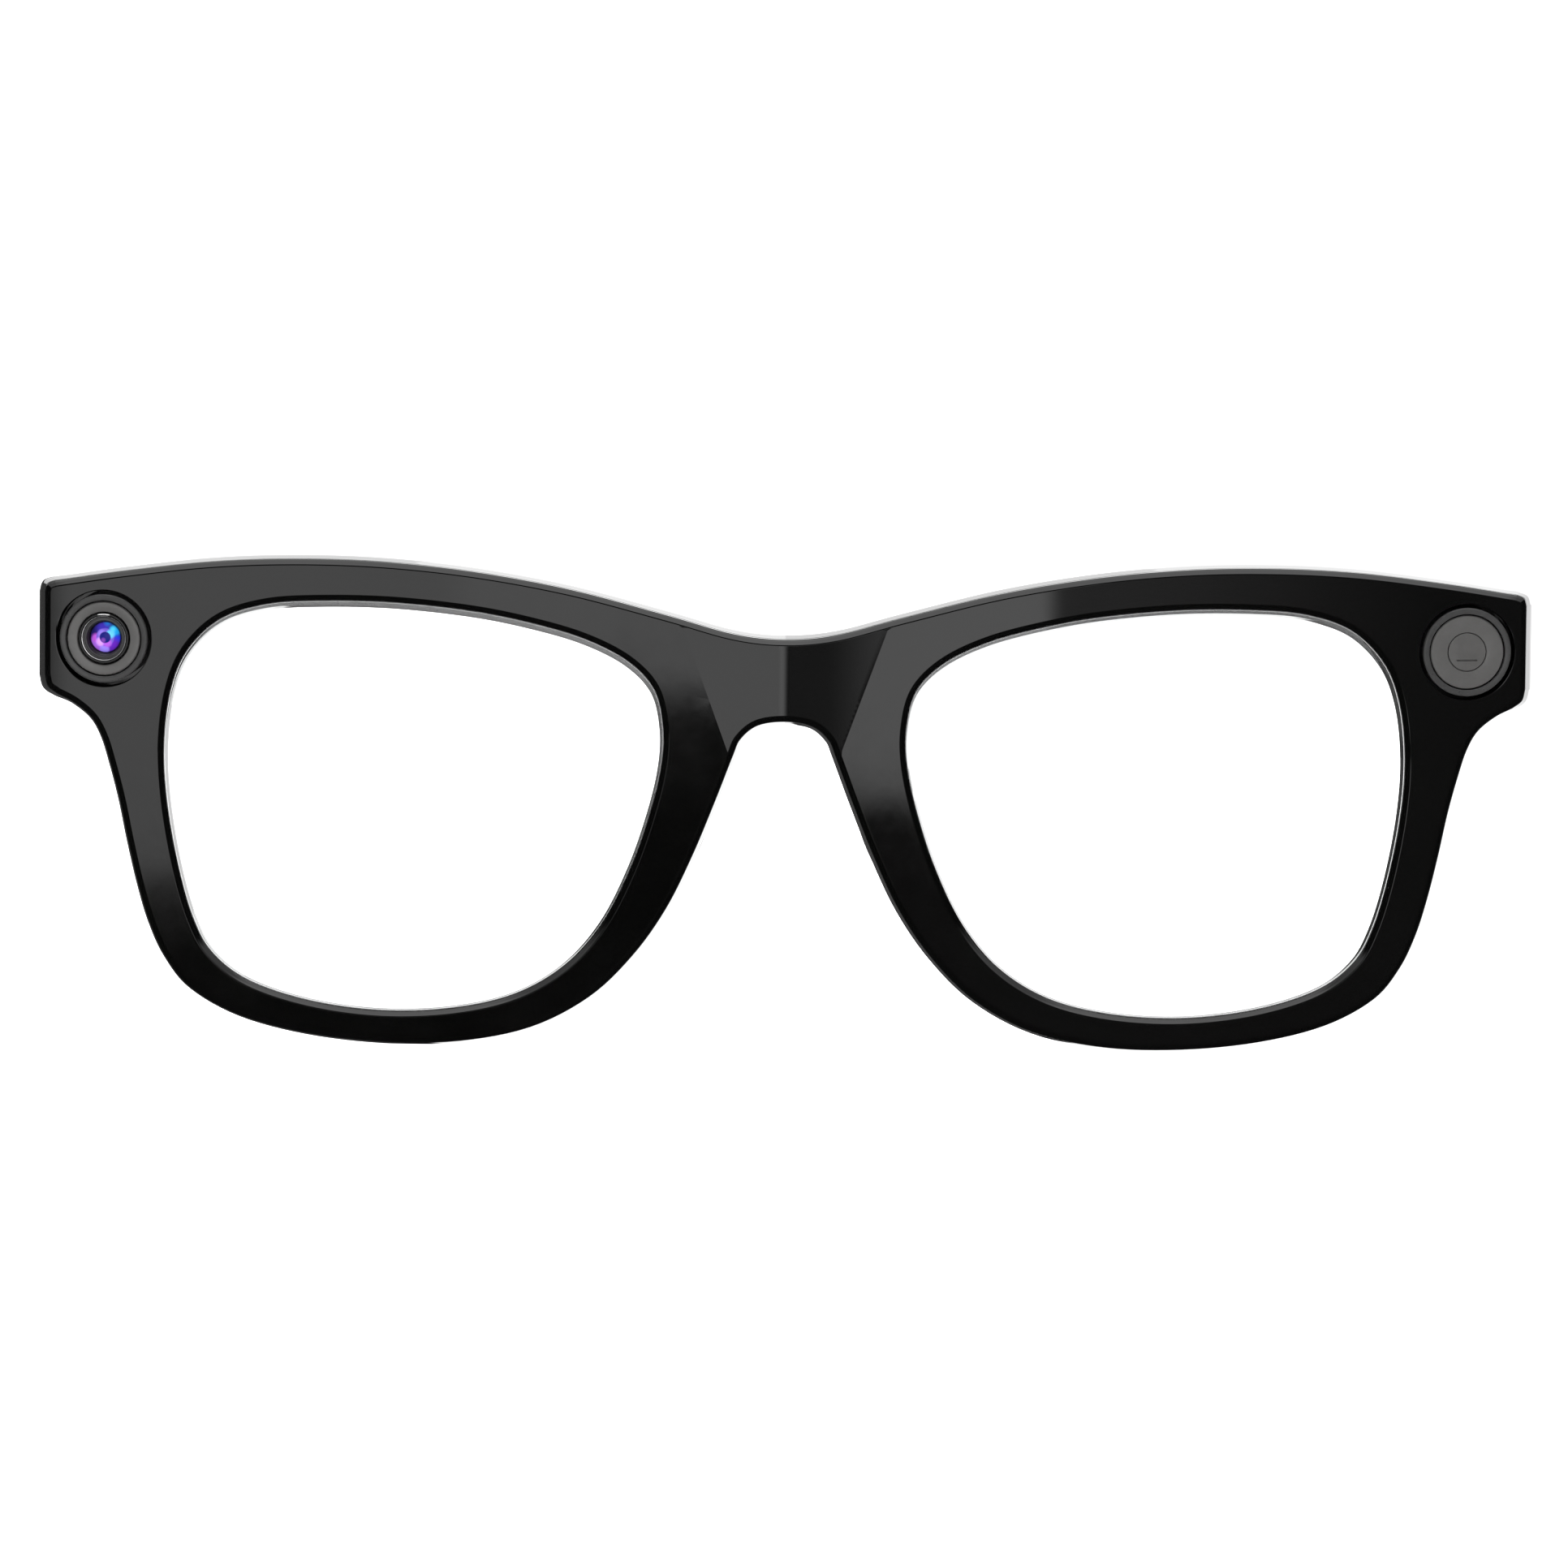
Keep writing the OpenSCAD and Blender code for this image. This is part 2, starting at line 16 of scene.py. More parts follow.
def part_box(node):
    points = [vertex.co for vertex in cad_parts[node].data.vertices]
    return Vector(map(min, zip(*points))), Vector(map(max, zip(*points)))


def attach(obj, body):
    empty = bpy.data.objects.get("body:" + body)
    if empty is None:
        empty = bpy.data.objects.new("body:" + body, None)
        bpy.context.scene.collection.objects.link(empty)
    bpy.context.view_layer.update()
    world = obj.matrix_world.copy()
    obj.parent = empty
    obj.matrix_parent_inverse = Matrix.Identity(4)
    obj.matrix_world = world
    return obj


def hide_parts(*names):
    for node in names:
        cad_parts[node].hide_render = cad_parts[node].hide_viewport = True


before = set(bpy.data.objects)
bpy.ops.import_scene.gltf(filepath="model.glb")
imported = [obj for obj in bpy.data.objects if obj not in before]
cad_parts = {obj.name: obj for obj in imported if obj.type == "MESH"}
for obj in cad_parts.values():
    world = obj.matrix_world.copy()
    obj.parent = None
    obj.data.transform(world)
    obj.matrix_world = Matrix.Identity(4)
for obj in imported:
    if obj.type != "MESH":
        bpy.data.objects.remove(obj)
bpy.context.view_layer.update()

MM = 0.001

# Where the CAD part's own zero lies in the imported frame, from the hinge screws' known place.
HINGE_Y = 15.0
SCREW_FOOT_Z = 12.6
screws_low, screws_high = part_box("hinge_screws")
SHIFT_Y = (screws_low.y + screws_high.y) / 2 / MM - HINGE_Y
SHIFT_Z = screws_low.z / MM - SCREW_FOOT_Z

# Front: wrap, lean and layers.
WRAP = 500.0            # radius of the front's wrap round the face
TILT = math.radians(5.5)
SHELL = 2.8             # thickness of the front shell
REAR_START = 2.9
RIM_DEPTH = 5.6
LENS_START = 1.8
LENS_THICK = 2.0
LENS_GRIP = 0.8
LIP = 0.35              # how far the rear shell stands out round the front shell
END_LIP = 0.4           # how much more than that it stands out at both ends
INNER_LIP = 0.3         # how far the rear shell closes in behind the lens
LIP_DROP = 0.25         # how much lower than the lens that inner edge lies
POCKET_PLAY = 0.05      # room behind the lens
LENS_SEAT = LENS_GRIP + 0.1

BROW = [[0, 16.82], [5, 17.3], [11.5, 19.05], [21, 21.45], [30.5, 23.05], [39.5, 23.85], [48, 23.95],
        [56, 23.5], [64.5, 22.4], [71.2, 21.3]]
CORNER_TOP = [[71.2, 21.3], [71.95, 20.95], [72.2, 20.2]]
CORNER_LOW = [[72.2, 12.0], [71.9, 10.9], [71.0, 10.2]]
FILLET = [[71.0, 10.2], [69.3, 9.35], [67.6, 7.95], [66.55, 6.1], [65.75, 3.6]]
RIM = [[65.75, 3.6], [64.8, 0], [63.9, -4.3], [62.9, -8.5], [61.8, -12.1], [60.25, -15.4], [57.75, -18.4],
       [53, -20.95], [46.5, -22.55], [39, -23.27], [31.5, -23.05], [24.5, -21.55], [18.8, -18.5],
       [14.6, -14.4], [11.4, -9.8], [8.9, -4.65], [6.7, 0.8], [5.0, 5.3]]
ARCH = [[5.0, 5.3], [4.25, 7.0], [2.6, 8.35], [0, 8.75]]
OPENING = [[30.5, 19.1], [38, 19.8], [45, 19.85], [50.5, 19.4], [55, 17.85], [58.2, 14.7], [59.8, 10.7],
           [60.4, 5.5], [60.1, 0], [59, -6.25], [57.5, -11.4], [55.6, -14.8], [52, -17.45], [46, -19.3],
           [39, -20.1], [32, -19.7], [26, -18.2], [21.2, -15.3], [17.6, -11.1], [14.9, -5.65], [13, 0],
           [12, 4.55], [11.9, 8.25], [12.8, 11.8], [15.4, 14.5], [19.5, 16.55], [24.6, 18.0]]

# Camera and light.
EYE_X, EYE_Z = 66.4, 15.75
EYE_TURN = math.asin(EYE_X / WRAP)
BEZEL_R = 4.35
BEZEL_GROOVE = 0.35
DISC_R = 3.6
BARREL_R = 2.5
WINDOW_R = 1.85
BORE_R = BEZEL_R + BEZEL_GROOVE
POCKET_R = 3.95
POCKET_DEEP = {-1: 8.3, 1: 4.2}     # of the camera (-1) and the light (1)
STOP_DEEP = 1.15        # where a bezel ring's inner step lies
ELEMENT_R = 1.53        # the camera's front element
ELEMENT_CURVE = 3.7     # radius of its front face

# Bridge: the keystone between the lenses.
CREASE_LOW, CREASE_SLOPE = [5.44, 5.55], 0.365
FACET_SLOPE = 0.072     # how steeply the bridge's two facets rise from their creases
RIDGE_WIDTH = 0.8       # how softly they meet
FACET_DEEP = 1.5        # depth behind the face at which they have faded out
BRIDGE_LOW = 4.5        # height of the creases' lower end
PLATE_SEAT = ((-6.05, 6.05), (RIM_DEPTH - 0.65, 9), (13.1 - 2.55, 13.1 + 2.55))

# Nose pads: place, turns, and half width and height of the oval.
PAD_PLACE = (10.4, 5.0, -3.2)
PAD_TURN, PAD_LEAN = math.radians(-14), math.radians(-24)
PAD_WIDE, PAD_TALL = 2.15, 6.3

# Hinges and temples.
HINGE_X = 63.0
HINGE_RELIEF = 2.05     # radius cleared round a hinge inside a temple
BLOCK_REAR = 13.1
BLOCK_FILLET = 1.6      # between an end piece's block and the rear shell
HINGE_SEAT_X, HINGE_SEAT_Y, HINGE_SEAT_Z = (61.8, 68.1), (BLOCK_REAR - 1.05, 20), (12.8, 19.2)
HOOK_START = 88.0       # where a temple's sections start to turn into the hook
BLOCK = [[60.3, 11.6], [71.1, 11.6], [71.75, 11.95], [72.0, 12.6], [72.0, 20.3], [71.75, 20.85],
         [71.0, 21.1], [60.3, 22.3]]
TEMPLE_TOP = [[13.4, 20.9], [40, 20.7], [65, 19.9], [85, 18.6], [98, 16.6], [108, 13.1], [116, 8.8],
              [124, 3.3], [132, -3.0], [139, -9.0], [145, -14.7], [148.8, -19.0], [149.9, -21.2],
              [149.1, -22.95], [147.0, -23.37]]
TEMPLE_LOW = [[13.4, 10.9], [35, 10.5], [60, 10.4], [85, 10.3], [96, 10.0], [105, 8.3], [112.5, 4.6],
              [120.5, -1.0], [128.5, -7.4], [136.5, -14.3], [143.5, -20.8], [147.0, -23.37]]
FACE_OUT = [[13.4, 71.8], [40, 71.8], [70, 71.5], [90, 71.1], [104, 70.6], [118, 70.4], [152, 70.4]]
FACE_IN = [[13.4, 63.6], [40, 63.7], [65, 64.0], [82, 64.6], [95, 65.4], [105, 65.9], [118, 66.0],
           [152, 66.0]]
HOOK_OUT = [[-24, 64.4], [-18.5, 66.7], [-14.2, 68.1], [-10, 68.9], [-3.8, 69.8], [3, 70.2], [30, 70.4]]
HOOK_IN = [[-24, 60.4], [-18.5, 62.9], [-14.2, 64.3], [-10, 65.2], [-3.8, 65.9], [3, 66.0], [30, 66.0]]
COVER = [[26, 11.2], [26, 19.9], [60, 19.5], [81, 18.3], [94, 16.4], [94, 11.1]]
COVER_DEEP = 1.05
BUTTON_X, BUTTON_Y = 67.7, 34.5
BUTTON_WIDE, BUTTON_LONG = 2.6, 8
BUTTON_FLANGE = 0.45    # how far the button's flange stands out all round
ARC_POINTS = 7          # points on each rounded corner of a temple's section


# ---------------------------------------------------------------- curves and placing

def place(x, y, z):
    """A point of the CAD part's own coordinates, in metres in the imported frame."""
    return Vector((x * MM, (y + SHIFT_Y) * MM, (z + SHIFT_Z) * MM))


def smooth(knots, steps=6, before=None, after=None):
    """A Catmull-Rom curve through the knots, its ends included. before and after lead its ends' direction."""
    p = np.array(knots, float)
    before = 2 * p[0] - p[1] if before is None else before
    after = 2 * p[-1] - p[-2] if after is None else after
    p = np.vstack([before, p, after])
    out = [spline_point(p[i:i + 4], j / steps) for i in range(len(p) - 3) for j in range(steps)]
    return np.array(out + [p[-2]])


def smooth_loop(knots, steps=8):
    p = np.array(knots, float)
    n = len(p)
    return np.array([spline_point(p[[(i - 1) % n, i, (i + 1) % n, (i + 2) % n]], j / steps)
                     for i in range(n) for j in range(steps)])


def spline_point(p, t):
    a, b, c, d = p
    return 0.5 * (2 * b + (c - a) * t + (2 * a - 5 * b + 4 * c - d) * t ** 2
                  + (3 * b - 3 * c + d - a) * t ** 3)


def loop_distance(points, loop):
    """Distance from each point to a closed polyline."""
    a, b = loop, np.roll(loop, -1, 0)
    d = b - a
    t = ((points[:, None] - a) * d).sum(2) / np.maximum((d * d).sum(1), 1e-12)
    near = a + np.clip(t, 0, 1)[..., None] * d
    return np.linalg.norm(points[:, None] - near, axis=2).min(1)


def inside(points, loop):
    """True for each point inside a closed polyline."""
    x, y = points[:, 0, None], points[:, 1, None]
    a, b = loop, np.roll(loop, -1, 0)
    crosses = (a[:, 1] > y) != (b[:, 1] > y)
    rise = np.where(b[:, 1] == a[:, 1], 1e-12, b[:, 1] - a[:, 1])
    return (crosses & (x < (b[:, 0] - a[:, 0]) * (y - a[:, 1]) / rise + a[:, 0])).sum(1) % 2 == 1


def mitre(p, along_p, q, along_q):
    """How far along its own direction each of two lines has to go to meet the other."""
    turn = along_p[0] * along_q[1] - along_p[1] * along_q[0]
    if abs(turn) < 1e-3:
        return np.linalg.norm(q - p) / 2, -np.linalg.norm(q - p) / 2
    gap = q - p
    return ((gap[0] * along_q[1] - gap[1] * along_q[0]) / turn,
            (gap[0] * along_p[1] - gap[1] * along_p[0]) / turn)


def grown(loop, distance):
    """A clockwise loop moved outwards; points that would cross at a tight corner meet in its mitre."""
    if distance == 0:
        return loop.copy()
    tangent = np.roll(loop, -1, 0) - np.roll(loop, 1, 0)
    tangent /= np.linalg.norm(tangent, axis=1)[:, None]
    moved = loop + distance * np.column_stack([-tangent[:, 1], tangent[:, 0]])
    good = loop_distance(moved, loop) > abs(distance) * 0.994
    n = len(loop)
    for i in np.flatnonzero(~good):
        a = next(i - k for k in range(1, n) if good[(i - k) % n])
        c = next(i + k for k in range(1, n) if good[(i + k) % n])
        for _ in range(20):
            along_a, along_c = mitre(moved[a % n], tangent[a % n], moved[c % n], tangent[c % n])
            if along_a >= 0 >= along_c:
                break
            a, c = a - (along_a < 0), c + (along_c > 0)
        meeting = moved[a % n] + along_a * tangent[a % n]
        for k in range(a + 1, c):
            moved[k % n] = meeting
            good[k % n] = True
    return moved


def sag(x):
    return WRAP - np.sqrt(WRAP ** 2 - np.asarray(x, float) ** 2)


def leaning(loop):
    """A front outline as it stands when the front leans."""
    return np.column_stack([loop[:, 0], loop[:, 1] * math.cos(TILT) + sag(loop[:, 0]) * math.sin(TILT)])


def crease_x(z):
    """Distance of the bridge's creases from the middle at a height of the front view."""
    return CREASE_LOW[0] + CREASE_SLOPE * (z / math.cos(TILT) - CREASE_LOW[1])


def bulge(x, z):
    """How far the bridge stands forward at a point of the front view: two facets with a soft ridge."""
    half = np.maximum(crease_x(z), 0.1)
    rise = np.sqrt(half ** 2 + RIDGE_WIDTH ** 2) - np.sqrt(x ** 2 + RIDGE_WIDTH ** 2)
    return np.maximum(rise, 0) * FACET_SLOPE


def wrapped(points, depth):
    """Front-view points (x, z) on the wrapped, leaning layer at a depth behind the face."""
    x, z = points[:, 0], points[:, 1]
    sunk = depth - bulge(x, z) * np.clip(1 - depth / FACET_DEEP, 0, 1)
    y = (WRAP - np.sqrt((WRAP - sunk) ** 2 - x ** 2) - z * math.sin(TILT)) / math.cos(TILT)
    return np.column_stack([x, y, z])


def half_front():
    """Wearer's left half of the front's outline, from the top of the bridge round to the nose arch."""
    side = np.linspace(CORNER_TOP[-1], CORNER_LOW[0], 9)
    low_edge = FILLET + RIM[1:] + ARCH[1:]
    parts = [smooth(BROW, before=(-BROW[1][0], BROW[1][1])), smooth(CORNER_TOP, 10), side,
             smooth(CORNER_LOW, 8), smooth(low_edge, after=(-ARCH[-2][0], ARCH[-2][1]))]
    return np.vstack([parts[0]] + [p[1:] for p in parts[1:]])


LEFT_HALF = half_front()
OUTLINE = leaning(np.vstack([LEFT_HALF, (LEFT_HALF[1:-1] * [-1, 1])[::-1]]))
HOLE_LEFT = leaning(smooth_loop(OPENING))
HOLE_RIGHT = (HOLE_LEFT * [-1, 1])[::-1]
HOLES = [HOLE_RIGHT, HOLE_LEFT]


def eye_matrix(side):
    """Local frame of the camera (side -1) or the light (side 1): Y runs backwards from the face."""
    base = Matrix.Rotation(TILT, 4, "X") @ Matrix.Translation((side * EYE_X, float(sag(EYE_X)), EYE_Z))
    return Matrix.Translation((0, SHIFT_Y, SHIFT_Z)) @ base @ Matrix.Rotation(side * EYE_TURN, 4, "Z")


def eye_in_cad(side):
    """The same frame in the CAD part's own coordinates."""
    return Matrix.Translation((0, -SHIFT_Y, -SHIFT_Z)) @ eye_matrix(side)


def eye_circle(side, radius, depth, count=96):
    """A circle round an eye's axis, in the CAD part's own coordinates."""
    m = eye_in_cad(side)
    turn = [2 * math.pi * i / count for i in range(count)]
    return np.array([m @ Vector((radius * math.cos(t), depth, radius * math.sin(t))) for t in turn])


# ---------------------------------------------------------------- mesh building

class Builder:
    """Collects points and faces in CAD millimetres and turns them into one object."""

    def __init__(self):
        self.points, self.faces = [], []

    def ring(self, points):
        start = len(self.points)
        self.points.extend(map(tuple, points))
        return list(range(start, len(self.points)))

    def strip(self, a, b):
        n = len(a)
        for i in range(n):
            j = (i + 1) % n
            self.faces.append((a[i], a[j], b[j], b[i]))

    def rings(self, loops):
        ids = [self.ring(loop) for loop in loops]
        for a, b in zip(ids, ids[1:]):
            self.strip(a, b)
        return ids

    def close_to(self, ring, point):
        """Closes a ring with triangles that meet in a point."""
        middle = self.ring([point])[0]
        n = len(ring)
        self.faces += [(ring[i], ring[(i + 1) % n], middle) for i in range(n)]

    def fill(self, borders, height, spacing, clear, facets=None, lines=()):
        """Fills between border rings seen from the front. height turns (x, z) points into surface points.

        facets are points that take the grid's place on the bridge, lines are edges the faces must follow.
        """
        loops = [np.array([(self.points[i][0], self.points[i][2]) for i in border]) for border in borders]

        def free(points, gap):
            keep = inside(points, loops[0]) & (loop_distance(points, loops[0]) > gap)
            for loop in loops[1:]:
                keep &= ~inside(points, loop) & (loop_distance(points, loop) > gap)
            return points[keep]

        edges, at = [], 0
        for border in borders:
            edges += [(at + k, at + (k + 1) % len(border)) for k in range(len(border))]
            at += len(border)
        low, high = loops[0].min(0), loops[0].max(0)
        grid = np.array([(x, z) for x in np.arange(low[0], high[0], spacing)
                         for z in np.arange(low[1], high[1], spacing)])
        if facets is not None:
            grid = np.vstack([grid[off_bridge(grid)], facets])
        parts = [free(line, 0.02) for line in lines]
        for part in parts:
            edges += [(at + k, at + k + 1) for k in range(len(part) - 1)]
            at += len(part)
        inner = np.vstack(parts + [free(grid, clear)])
        known = [i for border in borders for i in border] + self.ring(height(inner))
        plane = np.vstack(loops + [inner])
        verts, _, faces, origin, _, _ = delaunay_2d_cdt([Vector(p) for p in plane], edges, [], 0, 1e-6)
        lookup = [known[o[0]] if o else self.ring(height(np.array([v])))[0] for o, v in zip(origin, verts)]
        middle = np.array([sum((verts[i] for i in f), Vector((0, 0))) / len(f) for f in faces])
        wanted = inside(middle, loops[0])
        for loop in loops[1:]:
            wanted &= ~inside(middle, loop)
        self.faces += [tuple(lookup[i] for i in f) for f, w in zip(faces, wanted) if w]

    def build(self, name):
        mesh = bpy.data.meshes.new(name)
        mesh.from_pydata([place(*p) for p in self.points], [], self.faces)
        return finish_mesh(mesh, name)


def finish_mesh(mesh, name, merge=1e-7):
    bm = bmesh.new()
    bm.from_mesh(mesh)
    bmesh.ops.remove_doubles(bm, verts=bm.verts, dist=merge)
    bmesh.ops.dissolve_degenerate(bm, dist=merge, edges=bm.edges)
    loose = [v for v in bm.verts if not v.link_faces]
    bmesh.ops.delete(bm, geom=loose, context="VERTS")
    bmesh.ops.recalc_face_normals(bm, faces=bm.faces)
    bm.to_mesh(mesh)
    bm.free()
    obj = bpy.data.objects.new(name, mesh)
    bpy.context.scene.collection.objects.link(obj)
    return obj


def shade(obj, angle, weighted=True):
    """Smooth shading with sharp edges where the faces turn by more than an angle."""
    mesh = obj.data
    mesh.shade_smooth()
    mesh.set_sharp_from_angle(angle=math.radians(angle))
    if weighted:
        modifier = obj.modifiers.new("normals", "WEIGHTED_NORMAL")
        modifier.keep_sharp = True
        modifier.weight = 90
    return obj


def bevelled(obj, width):
    modifier = obj.modifiers.new("edges", "BEVEL")
    modifier.width = width * MM
    modifier.segments = 2
    modifier.limit_method = "ANGLE"
    modifier.angle_limit = math.radians(40)
    modifier.miter_outer = "MITER_ARC"
    return obj


def cut(obj, cutters, operation="DIFFERENCE"):
    """Applies booleans with each cutter in turn and removes the cutters."""
    for cutter in cutters:
        modifier = obj.modifiers.new("cut", "BOOLEAN")
        modifier.operation = operation
        modifier.solver = "EXACT"
        modifier.object = cutter
        graph = bpy.context.evaluated_depsgraph_get()
        mesh = bpy.data.meshes.new_from_object(obj.evaluated_get(graph))
        obj.modifiers.clear()
        old = obj.data
        obj.data = mesh
        bpy.data.meshes.remove(old)
        bpy.data.objects.remove(cutter)
    return obj


def closed_solid(name, loops):
    """A solid skinned over loops of equal length, with flat ends."""
    b = Builder()
    ids = b.rings(loops)
    b.faces += [tuple(ids[0]), tuple(reversed(ids[-1]))]
    return b.build(name)


def prism(name, outline, low, high):
    """An upright prism of a plan outline between two heights, in CAD millimetres."""
    return closed_solid(name, [[(x, y, z) for x, y in outline] for z in (low, high)])


def box_shape(name, x, y, z):
    return prism(name, [(x[0], y[0]), (x[1], y[0]), (x[1], y[1]), (x[0], y[1])], *z)


def disc_points(x, y, r, count=48):
    return [(x + r * math.cos(2 * math.pi * i / count), y + r * math.sin(2 * math.pi * i / count))
            for i in range(count)]


def stadium(x, y, wide, tall):
    """Plan outline with two round ends, longer along Y."""
    r = wide / 2
    turn = np.linspace(0, math.pi, 17)
    top = [(x + r * math.cos(t), y + tall / 2 - r + r * math.sin(t)) for t in turn]
    return top + [(x - r * math.cos(t), y - tall / 2 + r - r * math.sin(t)) for t in turn]


def turned(name, side, profile, rounding):
    """A solid of revolution about an eye's axis from (radius, depth) points, its corners rounded."""
    p = rounded_profile(np.array(profile, float), rounding)
    b = Builder()
    ids = b.rings([eye_circle(side, max(r, 0), depth, 128) for r, depth in p])
    if p[0][0] > 0.001:
        b.strip(ids[-1], ids[0])
    return b.build(name)


def rounded_profile(p, radius, steps=3):
    """Replaces each corner of a closed profile by a short curve; points on the axis stay."""
    out = []
    n = len(p)
    for i in range(n):
        if p[i][0] <= 0.001:
            out.append(p[i])
            continue
        before, after = p[i - 1] - p[i], p[(i + 1) % n] - p[i]
        a = p[i] + before / np.linalg.norm(before) * min(radius, np.linalg.norm(before) * 0.45)
        c = p[i] + after / np.linalg.norm(after) * min(radius, np.linalg.norm(after) * 0.45)
        for k in range(steps + 1):
            t = k / steps
            out.append((1 - t) ** 2 * a + 2 * t * (1 - t) * p[i] + t ** 2 * c)
    return np.array(out)


def settle(obj, body, nodes, material):
    """Gives a finished piece its material, hangs it on its body's empty and hides the CAD nodes it takes the
    place of.
    """
    obj.data.materials.clear()
    obj.data.materials.append(material)
    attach(obj, body)
    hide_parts(*nodes)


# ---------------------------------------------------------------- materials

class Nodes:
    """Short calls for building a node tree."""

    def __init__(self, tree):
        self.tree = tree

    def add(self, kind, **settings):
        node = self.tree.nodes.new(kind)
        for key, value in settings.items():
            setattr(node, key, value)
        return node

    def link(self, source, target):
        self.tree.links.new(source, target)

    def put(self, socket, value):
        if isinstance(value, bpy.types.NodeSocket):
            self.link(value, socket)
        else:
            socket.default_value = value

    def math(self, operation, a, b=0.0):
        node = self.add("ShaderNodeMath", operation=operation)
        self.put(node.inputs[0], a)
        self.put(node.inputs[1], b)
        return node.outputs[0]

    def map_range(self, value, low, high, start, end, kind="LINEAR"):
        """A value that goes from start to end as the given one goes from low to high."""
        node = self.add("ShaderNodeMapRange", interpolation_type=kind)
        self.put(node.inputs["Value"], value)
        node.inputs["From Min"].default_value = low
        node.inputs["From Max"].default_value = high
        node.inputs["To Min"].default_value = start
        node.inputs["To Max"].default_value = end
        return node.outputs["Result"]

    def step(self, value, low, high):
        """0 below low, 1 above high, smooth between; the other way round if low is above high."""
        ends = (1.0, 0.0) if low > high else (0.0, 1.0)
        return self.map_range(value, min(low, high), max(low, high), *ends, "SMOOTHSTEP")

    def noise(self, scale, detail=3.0, rough=0.5, stretch=(1, 1, 1)):
        coords = self.add("ShaderNodeTexCoord")
        mapping = self.add("ShaderNodeMapping")
        mapping.inputs["Scale"].default_value = stretch
        self.link(coords.outputs["Object"], mapping.inputs["Vector"])
        node = self.add("ShaderNodeTexNoise")
        self.link(mapping.outputs[0], node.inputs["Vector"])
        node.inputs["Scale"].default_value = scale
        node.inputs["Detail"].default_value = detail
        node.inputs["Roughness"].default_value = rough
        return node.outputs[0]

    def ramp(self, value, stops):
        node = self.add("ShaderNodeValToRGB")
        self.put(node.inputs[0], value)
        elements = node.color_ramp.elements
        while len(elements) < len(stops):
            elements.new(0.5)
        for element, (at, colour) in zip(elements, stops):
            element.position = at
            element.color = (*colour, 1)
        return node.outputs[0]

    def mix(self, factor, a, b):
        node = self.add("ShaderNodeMix", data_type="RGBA")
        self.put(node.inputs[0], factor)
        self.put(node.inputs[6], a)
        self.put(node.inputs[7], b)
        return node.outputs[2]

    def parts(self, vector):
        """The components of a vector."""
        apart = self.add("ShaderNodeSeparateXYZ")
        self.link(vector, apart.inputs[0])
        return apart.outputs

    def away(self, x, y):
        """Distance of a point (x, y) from the middle."""
        squares = [self.math("MULTIPLY", value, value) for value in (x, y)]
        return self.math("SQRT", self.math("ADD", *squares))

    def gloss(self, shader, pattern, rough, low=0.0, high=1.0):
        """Roughness that goes through the pair rough as a pattern goes from low to high."""
        self.link(self.map_range(pattern, low, high, *rough), shader.inputs["Roughness"])


def new_material(name):
    """A new material, the short calls for its tree and its shader."""
    material = bpy.data.materials.new(name)
    material.use_nodes = True
    return material, Nodes(material.node_tree), material.node_tree.nodes["Principled BSDF"]


def surface(name, dark, light, rough, scale, bump, grain, metal=0.0, stretch=(1, 1, 1)):
    """A moulded or machined surface: colour drift, uneven gloss and fine relief."""
    material, n, shader = new_material(name)
    drift = n.noise(scale, 4.0, 0.6, stretch)
    n.link(n.ramp(drift, [(0.3, dark), (0.7, light)]), shader.inputs["Base Color"])
    n.gloss(shader, n.noise(scale * 2.3, 5.0, 0.65, stretch), rough, 0.3, 0.75)
    relief = n.add("ShaderNodeBump")
    relief.inputs["Strength"].default_value = bump
    relief.inputs["Distance"].default_value = 0.0001
    n.link(n.noise(grain, 2.0, 0.5, stretch), relief.inputs["Height"])
    n.link(relief.outputs[0], shader.inputs["Normal"])
    shader.inputs["Metallic"].default_value = metal
    return material


def grey(value, warm=0.0):
    return (value * (1 + warm), value, value * (1 - warm))


def glass(name, tint, rough):
    material, n, shader = new_material(name)
    drift = n.noise(60.0, 2.0)
    n.link(n.ramp(drift, [(0.3, tint), (0.7, tuple(min(c * 1.01, 1) for c in tint))]),
           shader.inputs["Base Color"])
    n.gloss(shader, n.noise(300.0, 4.0), rough)
    shader.inputs["Transmission Weight"].default_value = 1.0
    shader.inputs["IOR"].default_value = 1.5
    return material


